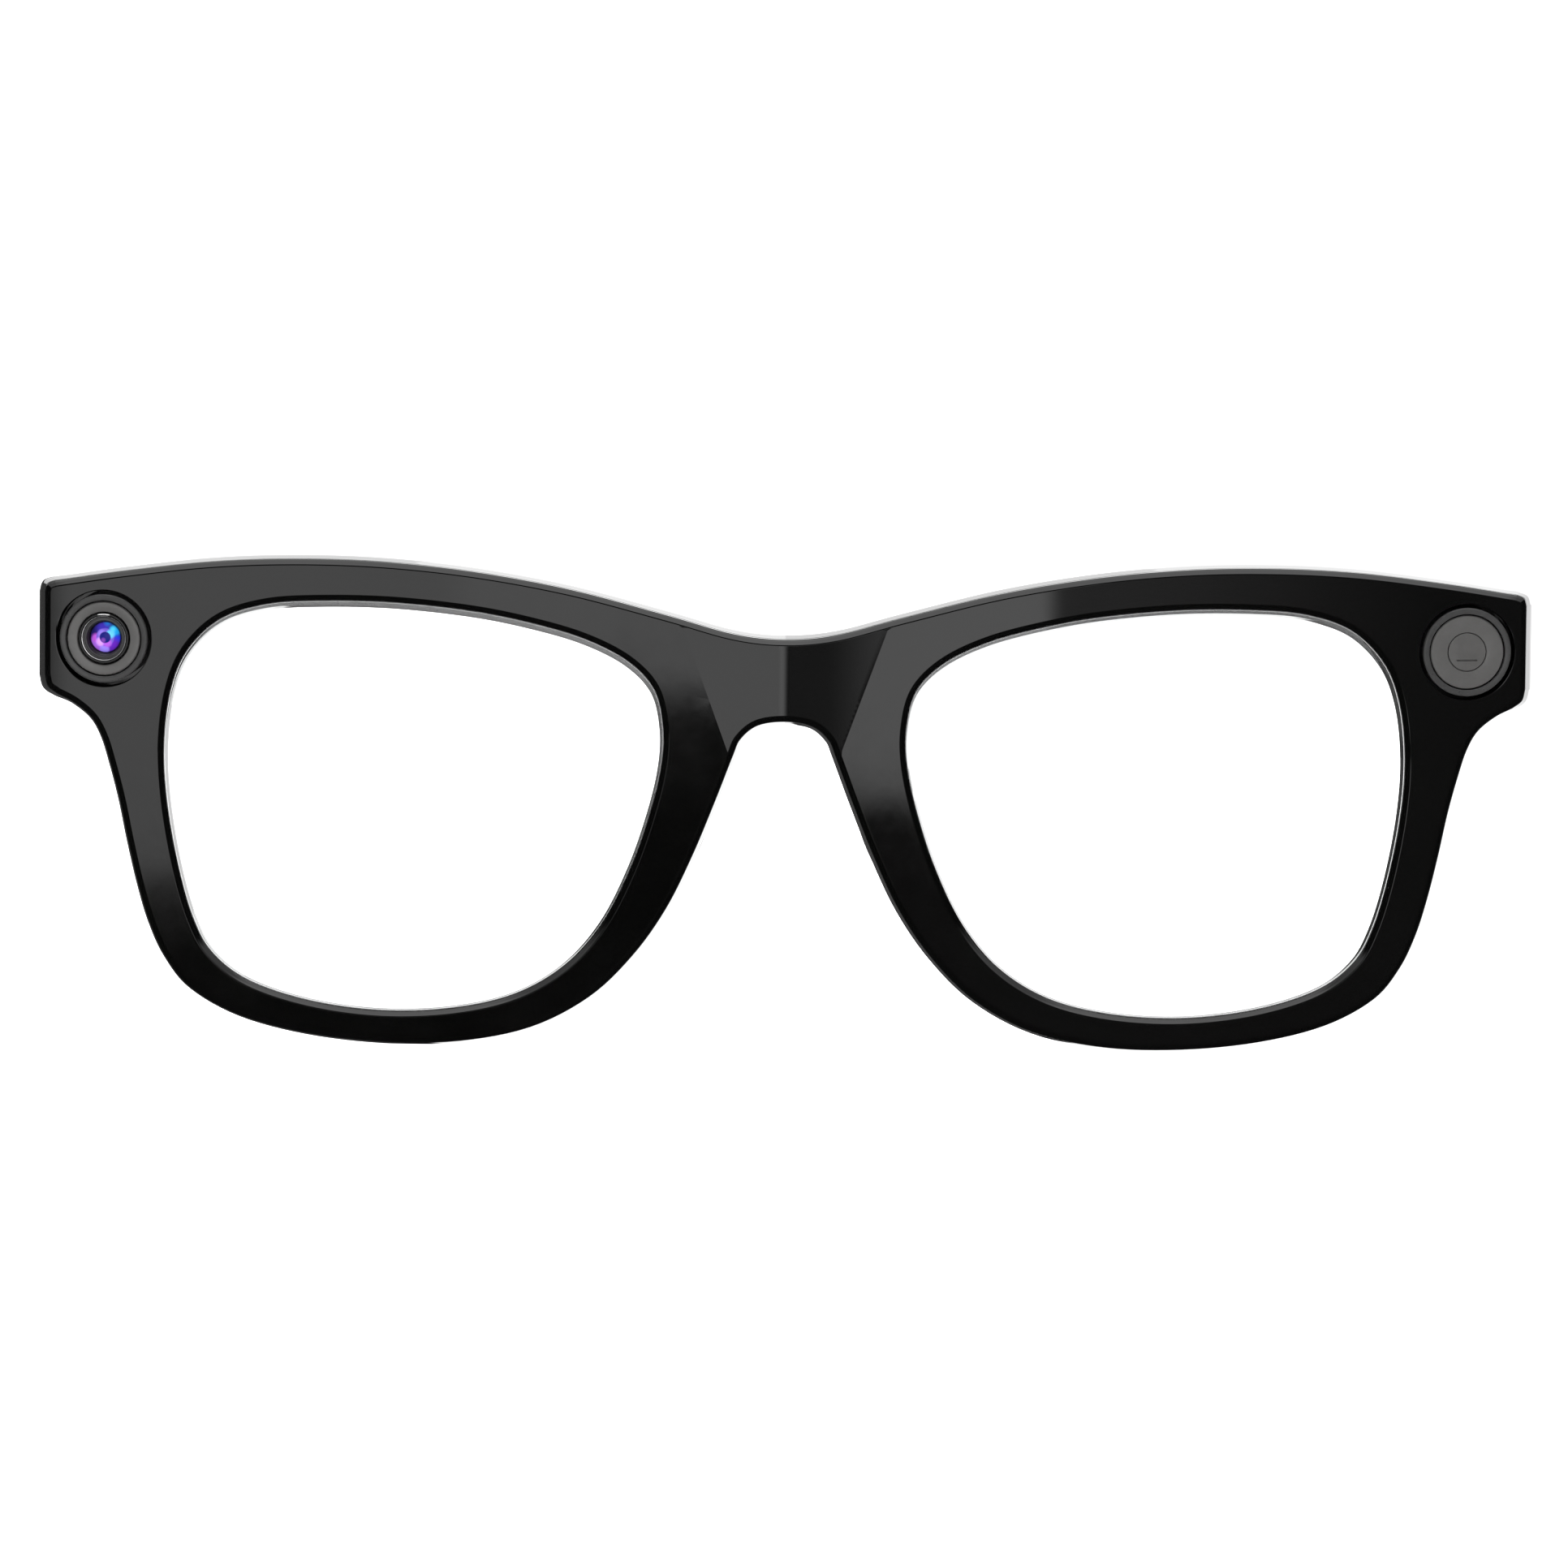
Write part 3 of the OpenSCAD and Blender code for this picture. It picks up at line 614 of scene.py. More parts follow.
def coated_lens(name):
    """The camera's front element: painted reflections in coating colours round a dark pupil, which also glow a
    little.
    """
    material, n, shader = new_material(name)
    x, y, _ = n.parts(n.add("ShaderNodeUVMap", uv_map="UVMap").outputs[0])

    def patch(cx, cy, radius, soft):
        away = n.away(n.math("SUBTRACT", x, cx), n.math("SUBTRACT", y, cy))
        return n.step(away, radius + soft, radius - soft)

    colour = n.ramp(n.noise(900.0), [(0.3, (0.012, 0.010, 0.09)), (0.7, (0.02, 0.014, 0.14))])
    # painted reflections: each patch is a spot of coating colour that a lit coated element would mirror
    painted_glints = [
        (-0.10, 0.62, 0.42, 0.28, (0.05, 0.03, 0.42)),
        (0.15, 0.98, 0.22, 0.16, (0.02, 0.16, 0.62)),
        (0.62, 0.42, 0.34, 0.18, (0.02, 0.36, 0.80)),
        (0.48, 0.52, 0.16, 0.12, (0.08, 0.62, 0.92)),
        (0.82, -0.10, 0.26, 0.16, (0.02, 0.04, 0.72)),
        (0.50, -0.52, 0.44, 0.24, (0.12, 0.02, 0.46)),
        (-0.48, -0.42, 0.52, 0.12, (0.34, 0.12, 0.66)),
        (-0.60, -0.05, 0.26, 0.14, (0.46, 0.09, 0.62)),
        (-0.05, -0.78, 0.30, 0.10, (0.30, 0.22, 0.86)),
        (0.00, 0.00, 0.58, 0.05, (0.16, 0.10, 0.55)),
        (0.34, 0.22, 0.26, 0.10, (0.12, 0.55, 0.90)),
        (-0.22, 0.24, 0.24, 0.12, (0.26, 0.18, 0.72)),
        (-0.30, -0.28, 0.28, 0.10, (0.60, 0.30, 0.86)),
        (0.14, -0.36, 0.26, 0.12, (0.40, 0.10, 0.66)),
        (0.00, 0.00, 0.36, 0.04, (0.010, 0.012, 0.16)),
        (-0.12, -0.18, 0.14, 0.08, (0.16, 0.05, 0.34)),
    ]
    for cx, cy, radius, soft, tint in painted_glints:
        colour = n.mix(patch(cx, cy, radius, soft), colour, (*tint, 1))
    # darker towards the element's edge
    colour = n.mix(n.step(n.away(x, y), 0.90, 1.0), colour, (0.006, 0.006, 0.02, 1))
    n.link(colour, shader.inputs["Base Color"])
    # painted glow: the colours also feed emission, though the element is no lamp
    n.link(colour, shader.inputs["Emission Color"])
    shader.inputs["Emission Strength"].default_value = 0.38
    n.gloss(shader, n.noise(3000.0), (0.03, 0.07))
    shader.inputs["Specular IOR Level"].default_value = 0.15
    return material


def barrel_look(name):
    """The camera barrel: black steps, two greyer rings and a bright metallic patch at the top of its rim, a
    painted highlight.
    """
    material = surface(name, grey(0.006), grey(0.010), (0.16, 0.28), 900.0, 0.03, 12000.0)
    n = Nodes(material.node_tree)
    shader = material.node_tree.nodes["Principled BSDF"]
    across, up, _ = n.parts(n.add("ShaderNodeUVMap", uv_map="UVMap").outputs[0])
    x, y = n.math("MULTIPLY", across, BARREL_R), n.math("MULTIPLY", up, BARREL_R)
    away = n.away(x, y)
    colour = shader.inputs["Base Color"].links[0].from_socket
    for low, high, tint in ((1.65, 1.75, 0.020), (1.77, 1.89, 0.062), (1.91, 2.06, 0.045)):
        band = n.math("MULTIPLY", n.step(away, low - 0.01, low), n.step(away, high + 0.01, high))
        colour = n.mix(band, colour, (*grey(tint), 1))
    # painted highlight: a small bright metallic patch at the top of the rim, where a glint of light shows
    painted_glint = n.math("MULTIPLY", n.step(n.math("ABSOLUTE", x), 0.62, 0.55), n.step(y, 2.27, 2.285))
    painted_glint = n.math("MULTIPLY", painted_glint, n.step(away, 2.42, 2.405))
    colour = n.mix(painted_glint, colour, (*grey(0.95), 1))
    n.link(colour, shader.inputs["Base Color"])
    n.link(painted_glint, shader.inputs["Metallic"])
    return material


looks = {
    "frame": surface("gloss_black", grey(0.0011), grey(0.0018), (0.020, 0.040), 90.0, 0.0008, 900.0),
    "pad": surface("satin_black", grey(0.006), grey(0.010), (0.24, 0.34), 300.0, 0.03, 9000.0),
    "bezel": surface("bezel_grey", grey(0.036), grey(0.044), (0.26, 0.36), 700.0, 0.03, 12000.0),
    "disc": surface("disc_grey", grey(0.078, 0.02), grey(0.090, 0.02), (0.18, 0.26), 500.0, 0.02, 12000.0),
    "barrel": barrel_look("barrel_black"),
    "trim": surface("bright_ring", grey(0.55), grey(0.70), (0.10, 0.20), 900.0, 0.02, 12000.0, 1.0),
    "window": surface("smoked_window", grey(0.074, 0.02), grey(0.086, 0.02), (0.10, 0.18), 600.0, 0.01,
                      9000.0),
    "steel": surface("brushed_steel", grey(0.42), grey(0.58), (0.22, 0.38), 900.0, 0.10, 9000.0, 1.0,
                     (1, 1, 6)),
    "gold": surface("gold_plate", (0.80, 0.52, 0.20), (0.90, 0.64, 0.30), (0.18, 0.30), 1500.0, 0.05, 9000.0,
                    1.0),
    "module": surface("dark_metal", grey(0.05), grey(0.09), (0.35, 0.5), 600.0, 0.05, 9000.0, 0.6),
    "board": surface("board_green", (0.010, 0.085, 0.040), (0.016, 0.13, 0.06), (0.3, 0.5), 900.0, 0.1,
                     7000.0),
    "flex": surface("amber_film", (0.34, 0.15, 0.03), (0.46, 0.22, 0.05), (0.22, 0.35), 500.0, 0.03, 5000.0),
    "cell": surface("foil_wrap", grey(0.45), grey(0.62), (0.25, 0.4), 500.0, 0.2, 3000.0, 0.9),
    "mesh": surface("mesh_metal", grey(0.10), grey(0.18), (0.35, 0.5), 900.0, 0.15, 12000.0, 0.8),
    "chip": surface("pale_ceramic", grey(0.62), grey(0.74), (0.4, 0.55), 900.0, 0.05, 9000.0),
    "stop": surface("stop_black", grey(0.004), grey(0.008), (0.6, 0.8), 900.0, 0.1, 9000.0),
    "lens": glass("clear_lens", (0.985, 0.99, 0.995), (0.0, 0.012)),
    "coated": coated_lens("coated_element_painted_glow"),
}


# ---------------------------------------------------------------- front

def chamfer_profile(width, depth, rounding):
    """(inset, depth) points from the face over a rounded edge down a chamfer to the wall."""
    return [(width + rounding, 0.0), (width + rounding * 0.55, 0.012), (width + rounding * 0.2, 0.045),
            (width - rounding * 0.15, 0.11), (width * 0.55, depth * 0.48), (width * 0.2, depth * 0.80),
            (width * 0.04, depth * 1.0), (0.0, depth * 1.3)]


def bridge_points():
    """The bridge's two creases as lines, and the fine points of its facets."""
    heights = np.arange(BRIDGE_LOW, 20.0, 0.25)
    creases = [np.array([(s * crease_x(z), z) for z in heights]) for s in (-1, 1)]
    facets = np.array([(s * crease_x(z), z) for z in heights[::2] for s in np.linspace(-0.94, 0.94, 33)])
    return facets, creases


def off_bridge(points):
    """True for each front-view point that isn't on the bridge's facets or close to them."""
    return (np.abs(points[:, 0]) > crease_x(points[:, 1]) + 0.6) | (points[:, 1] < BRIDGE_LOW)


def mark_creases(obj):
    """Sharp edges along the two creases of the bridge."""
    mesh = obj.data
    co = np.array([v.co for v in mesh.vertices]) / MM
    x, z = co[:, 0], co[:, 2] - SHIFT_Z
    on = (np.abs(np.abs(x) - crease_x(z)) < 0.02) & (z > 4.4)
    for edge in mesh.edges:
        a, b = edge.vertices
        if on[a] and on[b] and x[a] * x[b] > 0:
            edge.use_edge_sharp = True


def true_face_normals(obj, depth, facing):
    """Gives the skin at a depth the exact normals of its curve, so that no triangle shows in its gloss."""
    shown = obj.evaluated_get(bpy.context.evaluated_depsgraph_get()).data
    normals = np.array([normal.vector for normal in shown.corner_normals])
    obj.modifiers.clear()
    mesh = obj.data
    co = np.array([v.co for v in mesh.vertices]) / MM - [0, SHIFT_Y, SHIFT_Z]
    on = np.abs(co[:, 1] - wrapped(co[:, [0, 2]], depth)[:, 1]) < 0.002
    for polygon in mesh.polygons:
        corners = list(polygon.vertices)
        if not on[corners].all() or polygon.normal.y * facing < 0.8:
            continue
        painted_glint = co[corners][:, [0, 2]]
        painted_glint += (painted_glint.mean(0) - painted_glint) * 0.02
        span = 0.005
        slopes = [(wrapped(painted_glint + step, depth) - wrapped(painted_glint - step, depth))[:, 1] / (2 * span)
                  for step in (np.array([span, 0.0]), np.array([0.0, span]))]
        skin = np.column_stack([slopes[0], -np.ones(len(painted_glint)), slopes[1]]) * -facing
        normals[list(polygon.loop_indices)] = skin / np.linalg.norm(skin, axis=1)[:, None]
    mesh.normals_split_custom_set(normals)


def bore_rings(side, steps):
    """Rings of an eye's bore: on the face, then down its wall."""
    loops = []
    for radius, depth in steps:
        loop = eye_circle(side, radius, depth)
        if depth == 0:
            loop = wrapped(loop[:, [0, 2]], 0.0)
        loops.append(loop)
    return loops


def front_shell():
    """The glossy front: rims, brow, bridge and end pieces, with the eyes' bores and the lenses' seats."""
    b = Builder()
    outer = [wrapped(grown(OUTLINE, -inset), depth) for inset, depth in chamfer_profile(0.46, 0.48, 0.17)]
    outer += [wrapped(OUTLINE, 2.0), wrapped(OUTLINE, SHELL - 0.08), wrapped(grown(OUTLINE, -0.08), SHELL)]
    outer_ids = b.rings(outer)
    face_borders, back_borders = [outer_ids[0]], [outer_ids[-1]]
    for hole in HOLES:
        loops = [wrapped(grown(hole, inset), depth) for inset, depth in chamfer_profile(0.52, 0.54, 0.14)]
        seat = grown(hole, LENS_SEAT)
        loops += [wrapped(hole, LENS_START - 0.05), wrapped(seat, LENS_START - 0.05), wrapped(seat, SHELL)]
        ids = b.rings(loops)
        face_borders.append(ids[0])
        back_borders.append(ids[-1])
    for side in (-1, 1):
        steps = [(BORE_R + 0.10, 0), (BORE_R + 0.02, 0.03), (BORE_R, 0.10), (BORE_R, 1.5), (BORE_R, SHELL)]
        ids = b.rings(bore_rings(side, steps))
        face_borders.append(ids[0])
        back_borders.append(ids[-1])
    b.fill(face_borders, lambda p: wrapped(p, 0.0), 1.6, 0.5, *bridge_points())
    b.fill(back_borders, lambda p: wrapped(p, SHELL), 6.0, 1.5)
    obj = b.build("front_shell_gloss")
    shade(obj, 38, weighted=False)
    mark_creases(obj)
    true_face_normals(obj, 0.0, -1)
    return obj


def rear_shell():
    """The shell behind it: a flared edge, the lenses' rear seats, and the blocks behind the end pieces."""
    b = Builder()
    flare = [(-0.08, REAR_START), (0.02, REAR_START + 0.08), (LIP * 0.55, 4.2), (LIP, RIM_DEPTH - 0.55),
             (LIP - 0.03, RIM_DEPTH - 0.32), (LIP - 0.13, RIM_DEPTH - 0.13), (LIP - 0.32, RIM_DEPTH - 0.03),
             (LIP - 0.6, RIM_DEPTH)]
    wider = END_LIP * np.clip((np.abs(OUTLINE[:, 0]) - 70.0) / 1.5, 0, 1) * np.sign(OUTLINE[:, 0])
    loops = []
    for out, depth in flare:
        share = min(max(out + 0.08, 0) / LIP, 1) if depth < RIM_DEPTH - 0.2 else 0.8
        loops.append(wrapped(grown(OUTLINE, out) + np.column_stack([wider * share, 0 * wider]), depth))
    outer_ids = b.rings(loops)
    face_borders, back_borders = [outer_ids[0]], [outer_ids[-1]]
    pocket = LENS_START + LENS_THICK + POCKET_PLAY
    seat = [(LENS_SEAT, REAR_START), (LENS_SEAT, pocket), (0.05, pocket),
            (-0.03, pocket + 0.04), (-INNER_LIP * 0.5, 4.7), (-INNER_LIP, RIM_DEPTH - 0.25),
            (-INNER_LIP + 0.06, RIM_DEPTH - 0.08), (-INNER_LIP + 0.28, RIM_DEPTH)]
    for hole in HOLES:
        loops = [grown(hole, out) - [0, LIP_DROP if depth > pocket else 0] for out, depth in seat]
        ids = b.rings([wrapped(loop, depth) for loop, (_, depth) in zip(loops, seat)])
        face_borders.append(ids[0])
        back_borders.append(ids[-1])
    b.fill(face_borders, lambda p: wrapped(p, REAR_START), 6.0, 1.5)
    b.fill(back_borders, lambda p: wrapped(p, RIM_DEPTH), 2.5, 0.6)
    obj = b.build("rear_shell_gloss")
    for side in (-1, 1):
        cut(obj, [end_block(side)], "UNION")
    cutters = [box_shape("hinge_seat", sorted(side * x for x in HINGE_SEAT_X), HINGE_SEAT_Y, HINGE_SEAT_Z)
               for side in (-1, 1)]
    cutters += [closed_solid("eye_pocket", [eye_circle(side, POCKET_R, depth) for depth in (1.0, deep)])
                for side, deep in POCKET_DEEP.items()]
    cutters.append(tilted_box("plate_seat", *PLATE_SEAT))
    cut(obj, cutters)
    shade(obj, 35)
    true_face_normals(obj, RIM_DEPTH, 1)
    return obj


def tilted_box(name, x, y, z):
    """A box whose sides follow the leaning front."""
    turn = Matrix.Rotation(TILT, 4, "X")
    corners = ((x[0], z[0]), (x[1], z[0]), (x[1], z[1]), (x[0], z[1]))
    return closed_solid(name, [[turn @ Vector((px, py, pz)) for px, pz in corners] for py in y])


def spread(loop, piece):
    """A closed polyline with its sides split into equal parts, no shorter than a piece unless the side is."""
    out = []
    for a, c in zip(loop, np.roll(loop, -1, 0)):
        steps = max(1, int(np.linalg.norm(c - a) / piece))
        out += [a + (c - a) * k / steps for k in range(steps)]
    return np.array(out)


def end_block(side):
    """The thick end piece behind the camera or the light, filleted into the rear shell."""
    loop = spread(np.array(BLOCK), 0.8)[::-1]
    loops = []
    back = wrapped(loop, RIM_DEPTH)[:, 1]
    room = np.minimum(loop_distance(loop, OUTLINE), loop_distance(loop, HOLE_LEFT))
    weight = np.clip((room - 0.3) / BLOCK_FILLET, 0, 1)[:, None]
    for k in range(9):
        forward = k / 8 * BLOCK_FILLET
        out = BLOCK_FILLET - math.sqrt(max(BLOCK_FILLET ** 2 - (BLOCK_FILLET - forward) ** 2, 0))
        shape = loop + (grown(loop, out) - loop) * weight
        loops.append(np.column_stack([shape[:, 0], back - 0.12 + forward, shape[:, 1]]))
    loops.insert(0, np.column_stack([loops[0][:, 0], back - 1.2, loops[0][:, 2]]))
    for inset, short in ((0.0, 0.55), (0.04, 0.32), (0.16, 0.12), (0.34, 0.02), (0.5, 0.0)):
        shape = grown(loop, -inset)
        loops.append(np.column_stack([shape[:, 0], np.full(len(shape), BLOCK_REAR - short), shape[:, 1]]))
    return closed_solid("end_block", [shape * [side, 1, 1] for shape in loops])


def lens(side):
    """A wrapped lens with a small bevel round its edge."""
    hole = HOLES[0] if side < 0 else HOLES[1]
    b = Builder()
    edge = [(LENS_GRIP - 0.2, 0.0), (LENS_GRIP, 0.2), (LENS_GRIP, LENS_THICK - 0.2),
            (LENS_GRIP - 0.2, LENS_THICK)]
    ids = b.rings([wrapped(grown(hole, out), LENS_START + depth) for out, depth in edge])
    b.fill([ids[0]], lambda p: wrapped(p, LENS_START), 2.0, 0.8)
    b.fill([ids[-1]], lambda p: wrapped(p, LENS_START + LENS_THICK), 2.0, 0.8)
    obj = b.build("lens_clear_right" if side < 0 else "lens_clear_left")
    obj.visible_shadow = False
    return shade(obj, 30)


def nose_pad(side):
    """A leaning oval pad that grows out of the rear shell and ends in a dome."""
    turn = Matrix.Rotation(PAD_TURN, 4, "Z") @ Matrix.Rotation(PAD_LEAN, 4, "Y")
    base = Matrix.Rotation(TILT, 4, "X") @ Matrix.Translation(PAD_PLACE) @ turn
    profile = [(1.0, 0.2), (1.25, 0.25), (1.12, 0.55), (1.03, 0.95), (1.0, 1.5), (0.995, 2.3)]
    profile += [(math.cos(t) ** 0.75, 2.3 + 2.1 * math.sin(t)) for t in np.linspace(0.12, 1.35, 10)]
    b = Builder()
    loops = []
    for scale, height in profile:
        a = np.linspace(0, 2 * math.pi, 72, endpoint=False)
        x, z = PAD_WIDE * scale * np.cos(a), PAD_TALL * scale * np.sin(a)
        # the long dome drops away towards both ends
        y = height - 0.55 * (z / PAD_TALL) ** 2 * min(max(height - 0.6, 0) / 2.0, 1.6)
        loops.append([base @ Vector(p) for p in zip(x, y, z)])
    ids = b.rings(loops)
    b.close_to(ids[-1], np.mean([b.points[i] for i in ids[-1]], axis=0) + np.array([0.0, 0.06, 0.0]))
    b.faces.append(tuple(ids[0]))
    if side < 0:
        b.points = [(-p[0], p[1], p[2]) for p in b.points]
    return shade(b.build("pad_right" if side < 0 else "pad_left"), 50)


# ---------------------------------------------------------------- camera and light

def settle_eye(obj, node, look):
    settle(shade(obj, 45), "front", [node], looks[look])


def bezel_ring(side, name, node):
    seat, r, throat = DISC_R + 0.12, BEZEL_R, 2.95
    profile = [(seat, 0.04), (seat + 0.06, -0.05), (r - 0.14, -0.08), (r - 0.02, 0.03), (r, 0.30),
               (r, SHELL - 0.05), (throat, SHELL - 0.05), (throat, STOP_DEEP), (seat, STOP_DEEP)]
    settle_eye(turned(name, side, profile, 0.06), node, "bezel")


def flat_uv(obj, side, radius):
    """UVs that give a point's place in front of an eye's axis as a share of a radius."""
    uv = obj.data.uv_layers.new(name="UVMap")
    back = eye_matrix(side).inverted()
    for loop in obj.data.loops:
        p = back @ (obj.data.vertices[loop.vertex_index].co / MM)
        uv.data[loop.index].uv = (p.x / radius, p.z / radius)


def camera_parts():
    bezel_ring(-1, "camera_ring", "camera_bezel_ring")
    inner = BARREL_R + 0.06
    disc = turned("camera_disc", -1, [(inner, 0.30), (inner + 0.08, 0.09), (DISC_R - 0.10, 0.05),
                                      (DISC_R, 0.16), (DISC_R, 1.13), (inner, 1.13)], 0.05)
    settle_eye(disc, "camera_cover_disc", "disc")
    barrel = turned("camera_barrel_stepped", -1, [
        (2.20, 0.16), (2.25, 0.0), (BARREL_R - 0.07, 0.0), (BARREL_R, 0.25), (BARREL_R, 5.2), (1.1, 5.2),
        (1.1, 2.4), (1.56, 2.4), (1.56, 0.98), (1.64, 0.92), (1.64, 0.70), (1.76, 0.62), (1.76, 0.40),
        (1.90, 0.36), (1.90, 0.24), (2.07, 0.20), (2.07, 0.36), (2.20, 0.36)], 0.025)
    flat_uv(barrel, -1, BARREL_R)
    settle_eye(barrel, "camera_barrel", "barrel")
    trim = turned("camera_bright_ring", -1, [(2.09, 0.16), (2.10, 0.075), (2.18, 0.066), (2.19, 0.34),
                                             (2.09, 0.34)], 0.012)
    settle_eye(trim, "camera_trim_ring", "trim")
    dome = [(ELEMENT_CURVE * math.sin(math.radians(a)), 4.55 - ELEMENT_CURVE * math.cos(math.radians(a)))
            for a in range(0, 25, 2)]
    element = turned("camera_element", -1, dome + [(ELEMENT_R, 1.3), (ELEMENT_R, 1.9), (0, 1.9)], 0.01)
    flat_uv(element, -1, ELEMENT_R)
    settle_eye(element, "camera_lens", "coated")


def light_parts():
    bezel_ring(1, "light_ring", "led_bezel_ring")
    disc = turned("light_disc", 1, [(WINDOW_R + 0.06, 0.16), (WINDOW_R + 0.12, 0.09), (DISC_R - 0.10, 0.05),
                                    (DISC_R, 0.16), (DISC_R, 1.13), (1.5, 1.13), (1.5, 0.7),
                                    (WINDOW_R + 0.06, 0.7)], 0.03)
    settle_eye(disc, "led_cover_disc", "disc")
    window = turned("light_window", 1, [(0, 0.09), (WINDOW_R - 0.05, 0.10), (WINDOW_R, 0.15), (WINDOW_R, 0.68),
                                        (0, 0.68)], 0.02)
    m = eye_in_cad(1)
    corners = ((-1.0, -0.89), (1.0, -0.89), (1.0, -0.73), (-1.0, -0.73))
    cut(window, [closed_solid("slit", [[m @ Vector((x, y, z)) for x, z in corners] for y in (-0.5, 0.22)])])
    settle_eye(window, "led_window", "window")


# ---------------------------------------------------------------- temples

def temple_stations():
    """Pairs of points (y, z) on a temple's lower and upper edge, from the hinge to the tip."""
    top, low = smooth(TEMPLE_TOP, 10), smooth(TEMPLE_LOW, 10)
    # the stretches before the hook, where Y only grows
    straight_top, straight_low = top[:45], low[:50]

    def resample(p, at):
        length = np.concatenate([[0], np.cumsum(np.linalg.norm(np.diff(p, axis=0), axis=1))])
        return np.column_stack([np.interp(at * length[-1], length, p[:, k]) for k in (0, 1)])

    # straight part: upright pairs; hook: pairs that share their portion of what is left
    pairs = [tuple((y, np.interp(y, edge[:, 0], edge[:, 1])) for edge in (straight_low, straight_top))
             for y in np.linspace(TEMPLE_TOP[0][0], HOOK_START, 60)]
    low_rest = low[low[:, 0].searchsorted(HOOK_START):]
    top_rest = top[np.argmax(top[:, 0] > HOOK_START):]
    low_rest = np.vstack([[HOOK_START, pairs[-1][0][1]], low_rest])
    top_rest = np.vstack([[HOOK_START, pairs[-1][1][1]], top_rest])
    at = np.linspace(0, 1, 90)[1:-1]
    at = 1 - (1 - at) ** 1.15
    pairs += list(zip(map(tuple, resample(low_rest, at)), map(tuple, resample(top_rest, at))))
    return pairs


def temple_section(low, high, squash, corner):
    """A rounded cross-section between a lower and an upper edge point, as (x, y, z) points."""
    low, high = np.array(low), np.array(high)
    tall = np.linalg.norm(high - low)
    y, z = (low + high) / 2
    wide = section_face(y, z, 1) - section_face(y, z, -1)
    rx, rz = min(corner / wide * 2, 0.98), min(corner / tall * 2, 0.98)
    quarter = np.linspace(0, math.pi / 2, ARC_POINTS)
    unit = []
    for sx, sz in ((1, 1), (-1, 1), (-1, -1), (1, -1)):
        arc = [(sx * (1 - rx + rx * math.cos(t)), sz * (1 - rz + rz * math.sin(t))) for t in quarter]
        unit += arc if sx * sz > 0 else arc[::-1]
    points = []
    for a, c in densify(unit):
        py, pz = low + (high - low) * (c + 1) / 2
        xo, xi = section_face(py, pz, 1), section_face(py, pz, -1)
        mid, half_wide = (xo + xi) / 2, (xo - xi) / 2 * squash
        points.append((mid + a * half_wide, py, pz))
    return points


def densify(unit):
    """Adds four points to each straight side of a unit outline, between its corners' arcs."""
    out = []
    n = len(unit)
    for i in range(n):
        out.append(unit[i])
        if i % ARC_POINTS == ARC_POINTS - 1:
            a, c = np.array(unit[i]), np.array(unit[(i + 1) % n])
            out += [tuple(a + (c - a) * k / 5) for k in range(1, 5)]
    return out


face_curves = {1: (smooth(FACE_OUT, 8), smooth(HOOK_OUT, 8)), -1: (smooth(FACE_IN, 8), smooth(HOOK_IN, 8))}


def section_face(y, z, which):
    """X of a temple's outer (1) or inner (-1) face; in the hook the front-view curve takes over."""
    plan, hook = face_curves[which]
    by_plan = float(np.interp(y, plan[:, 0], plan[:, 1]))
    by_hook = float(np.interp(z, hook[:, 0], hook[:, 1]))
    share = min(max((4.0 - z) / 8.0, 0), 1) * min(max((y - 100) / 15, 0), 1)
    return by_plan + (by_hook - by_plan) * share * share * (3 - 2 * share)


def temple(side):
    """A temple from its hinge end to the hook's tip, with what is let into it cut out."""
    pairs = temple_stations()
    loops = []
    for i, (low, high) in enumerate(pairs):
        left = (len(pairs) - 1 - i) / 14
        squash = math.sqrt(max(1 - max(1 - left, 0) ** 2.2, 0.02))
        hook = min(max((i - 55) / 30, 0), 1)
        loops.append(temple_section(low, high, squash, 1.15 + 0.75 * hook))
    first = np.array(loops[0])
    centre = first.mean(0)
    rounded_end = ((0.5, 0.0), (0.3, 0.03), (0.1, 0.14))
    for at, (inset, back) in enumerate(rounded_end):
        ring = first.copy()
        for axis in (0, 2):
            off = centre[axis] - ring[:, axis]
            ring[:, axis] += np.sign(off) * inset * (np.abs(off) > 0.8)
        ring[:, 1] += back
        loops.insert(at, ring.tolist())
    loops[3] = [(x, y + 0.4, z) for x, y, z in loops[3]]
    b = Builder()
    ids = b.rings(loops)
    b.faces.append(tuple(reversed(ids[0])))
    b.close_to(ids[-1], np.mean([b.points[i] for i in ids[-1]], axis=0))
    obj = b.build("temple_gloss_right" if side < 0 else "temple_gloss_left")
    cut(obj, temple_cutters(side))
    if side < 0:
        obj.data.transform(Matrix.Scale(-1, 4, (1, 0, 0)))
        obj.data.flip_normals()
    return shade(obj, 35)


def button_shape(out):
    """Plan outline of the button's slot, grown by out on all sides."""
    return stadium(BUTTON_X, BUTTON_Y, BUTTON_WIDE + 2 * out, BUTTON_LONG + 2 * out)


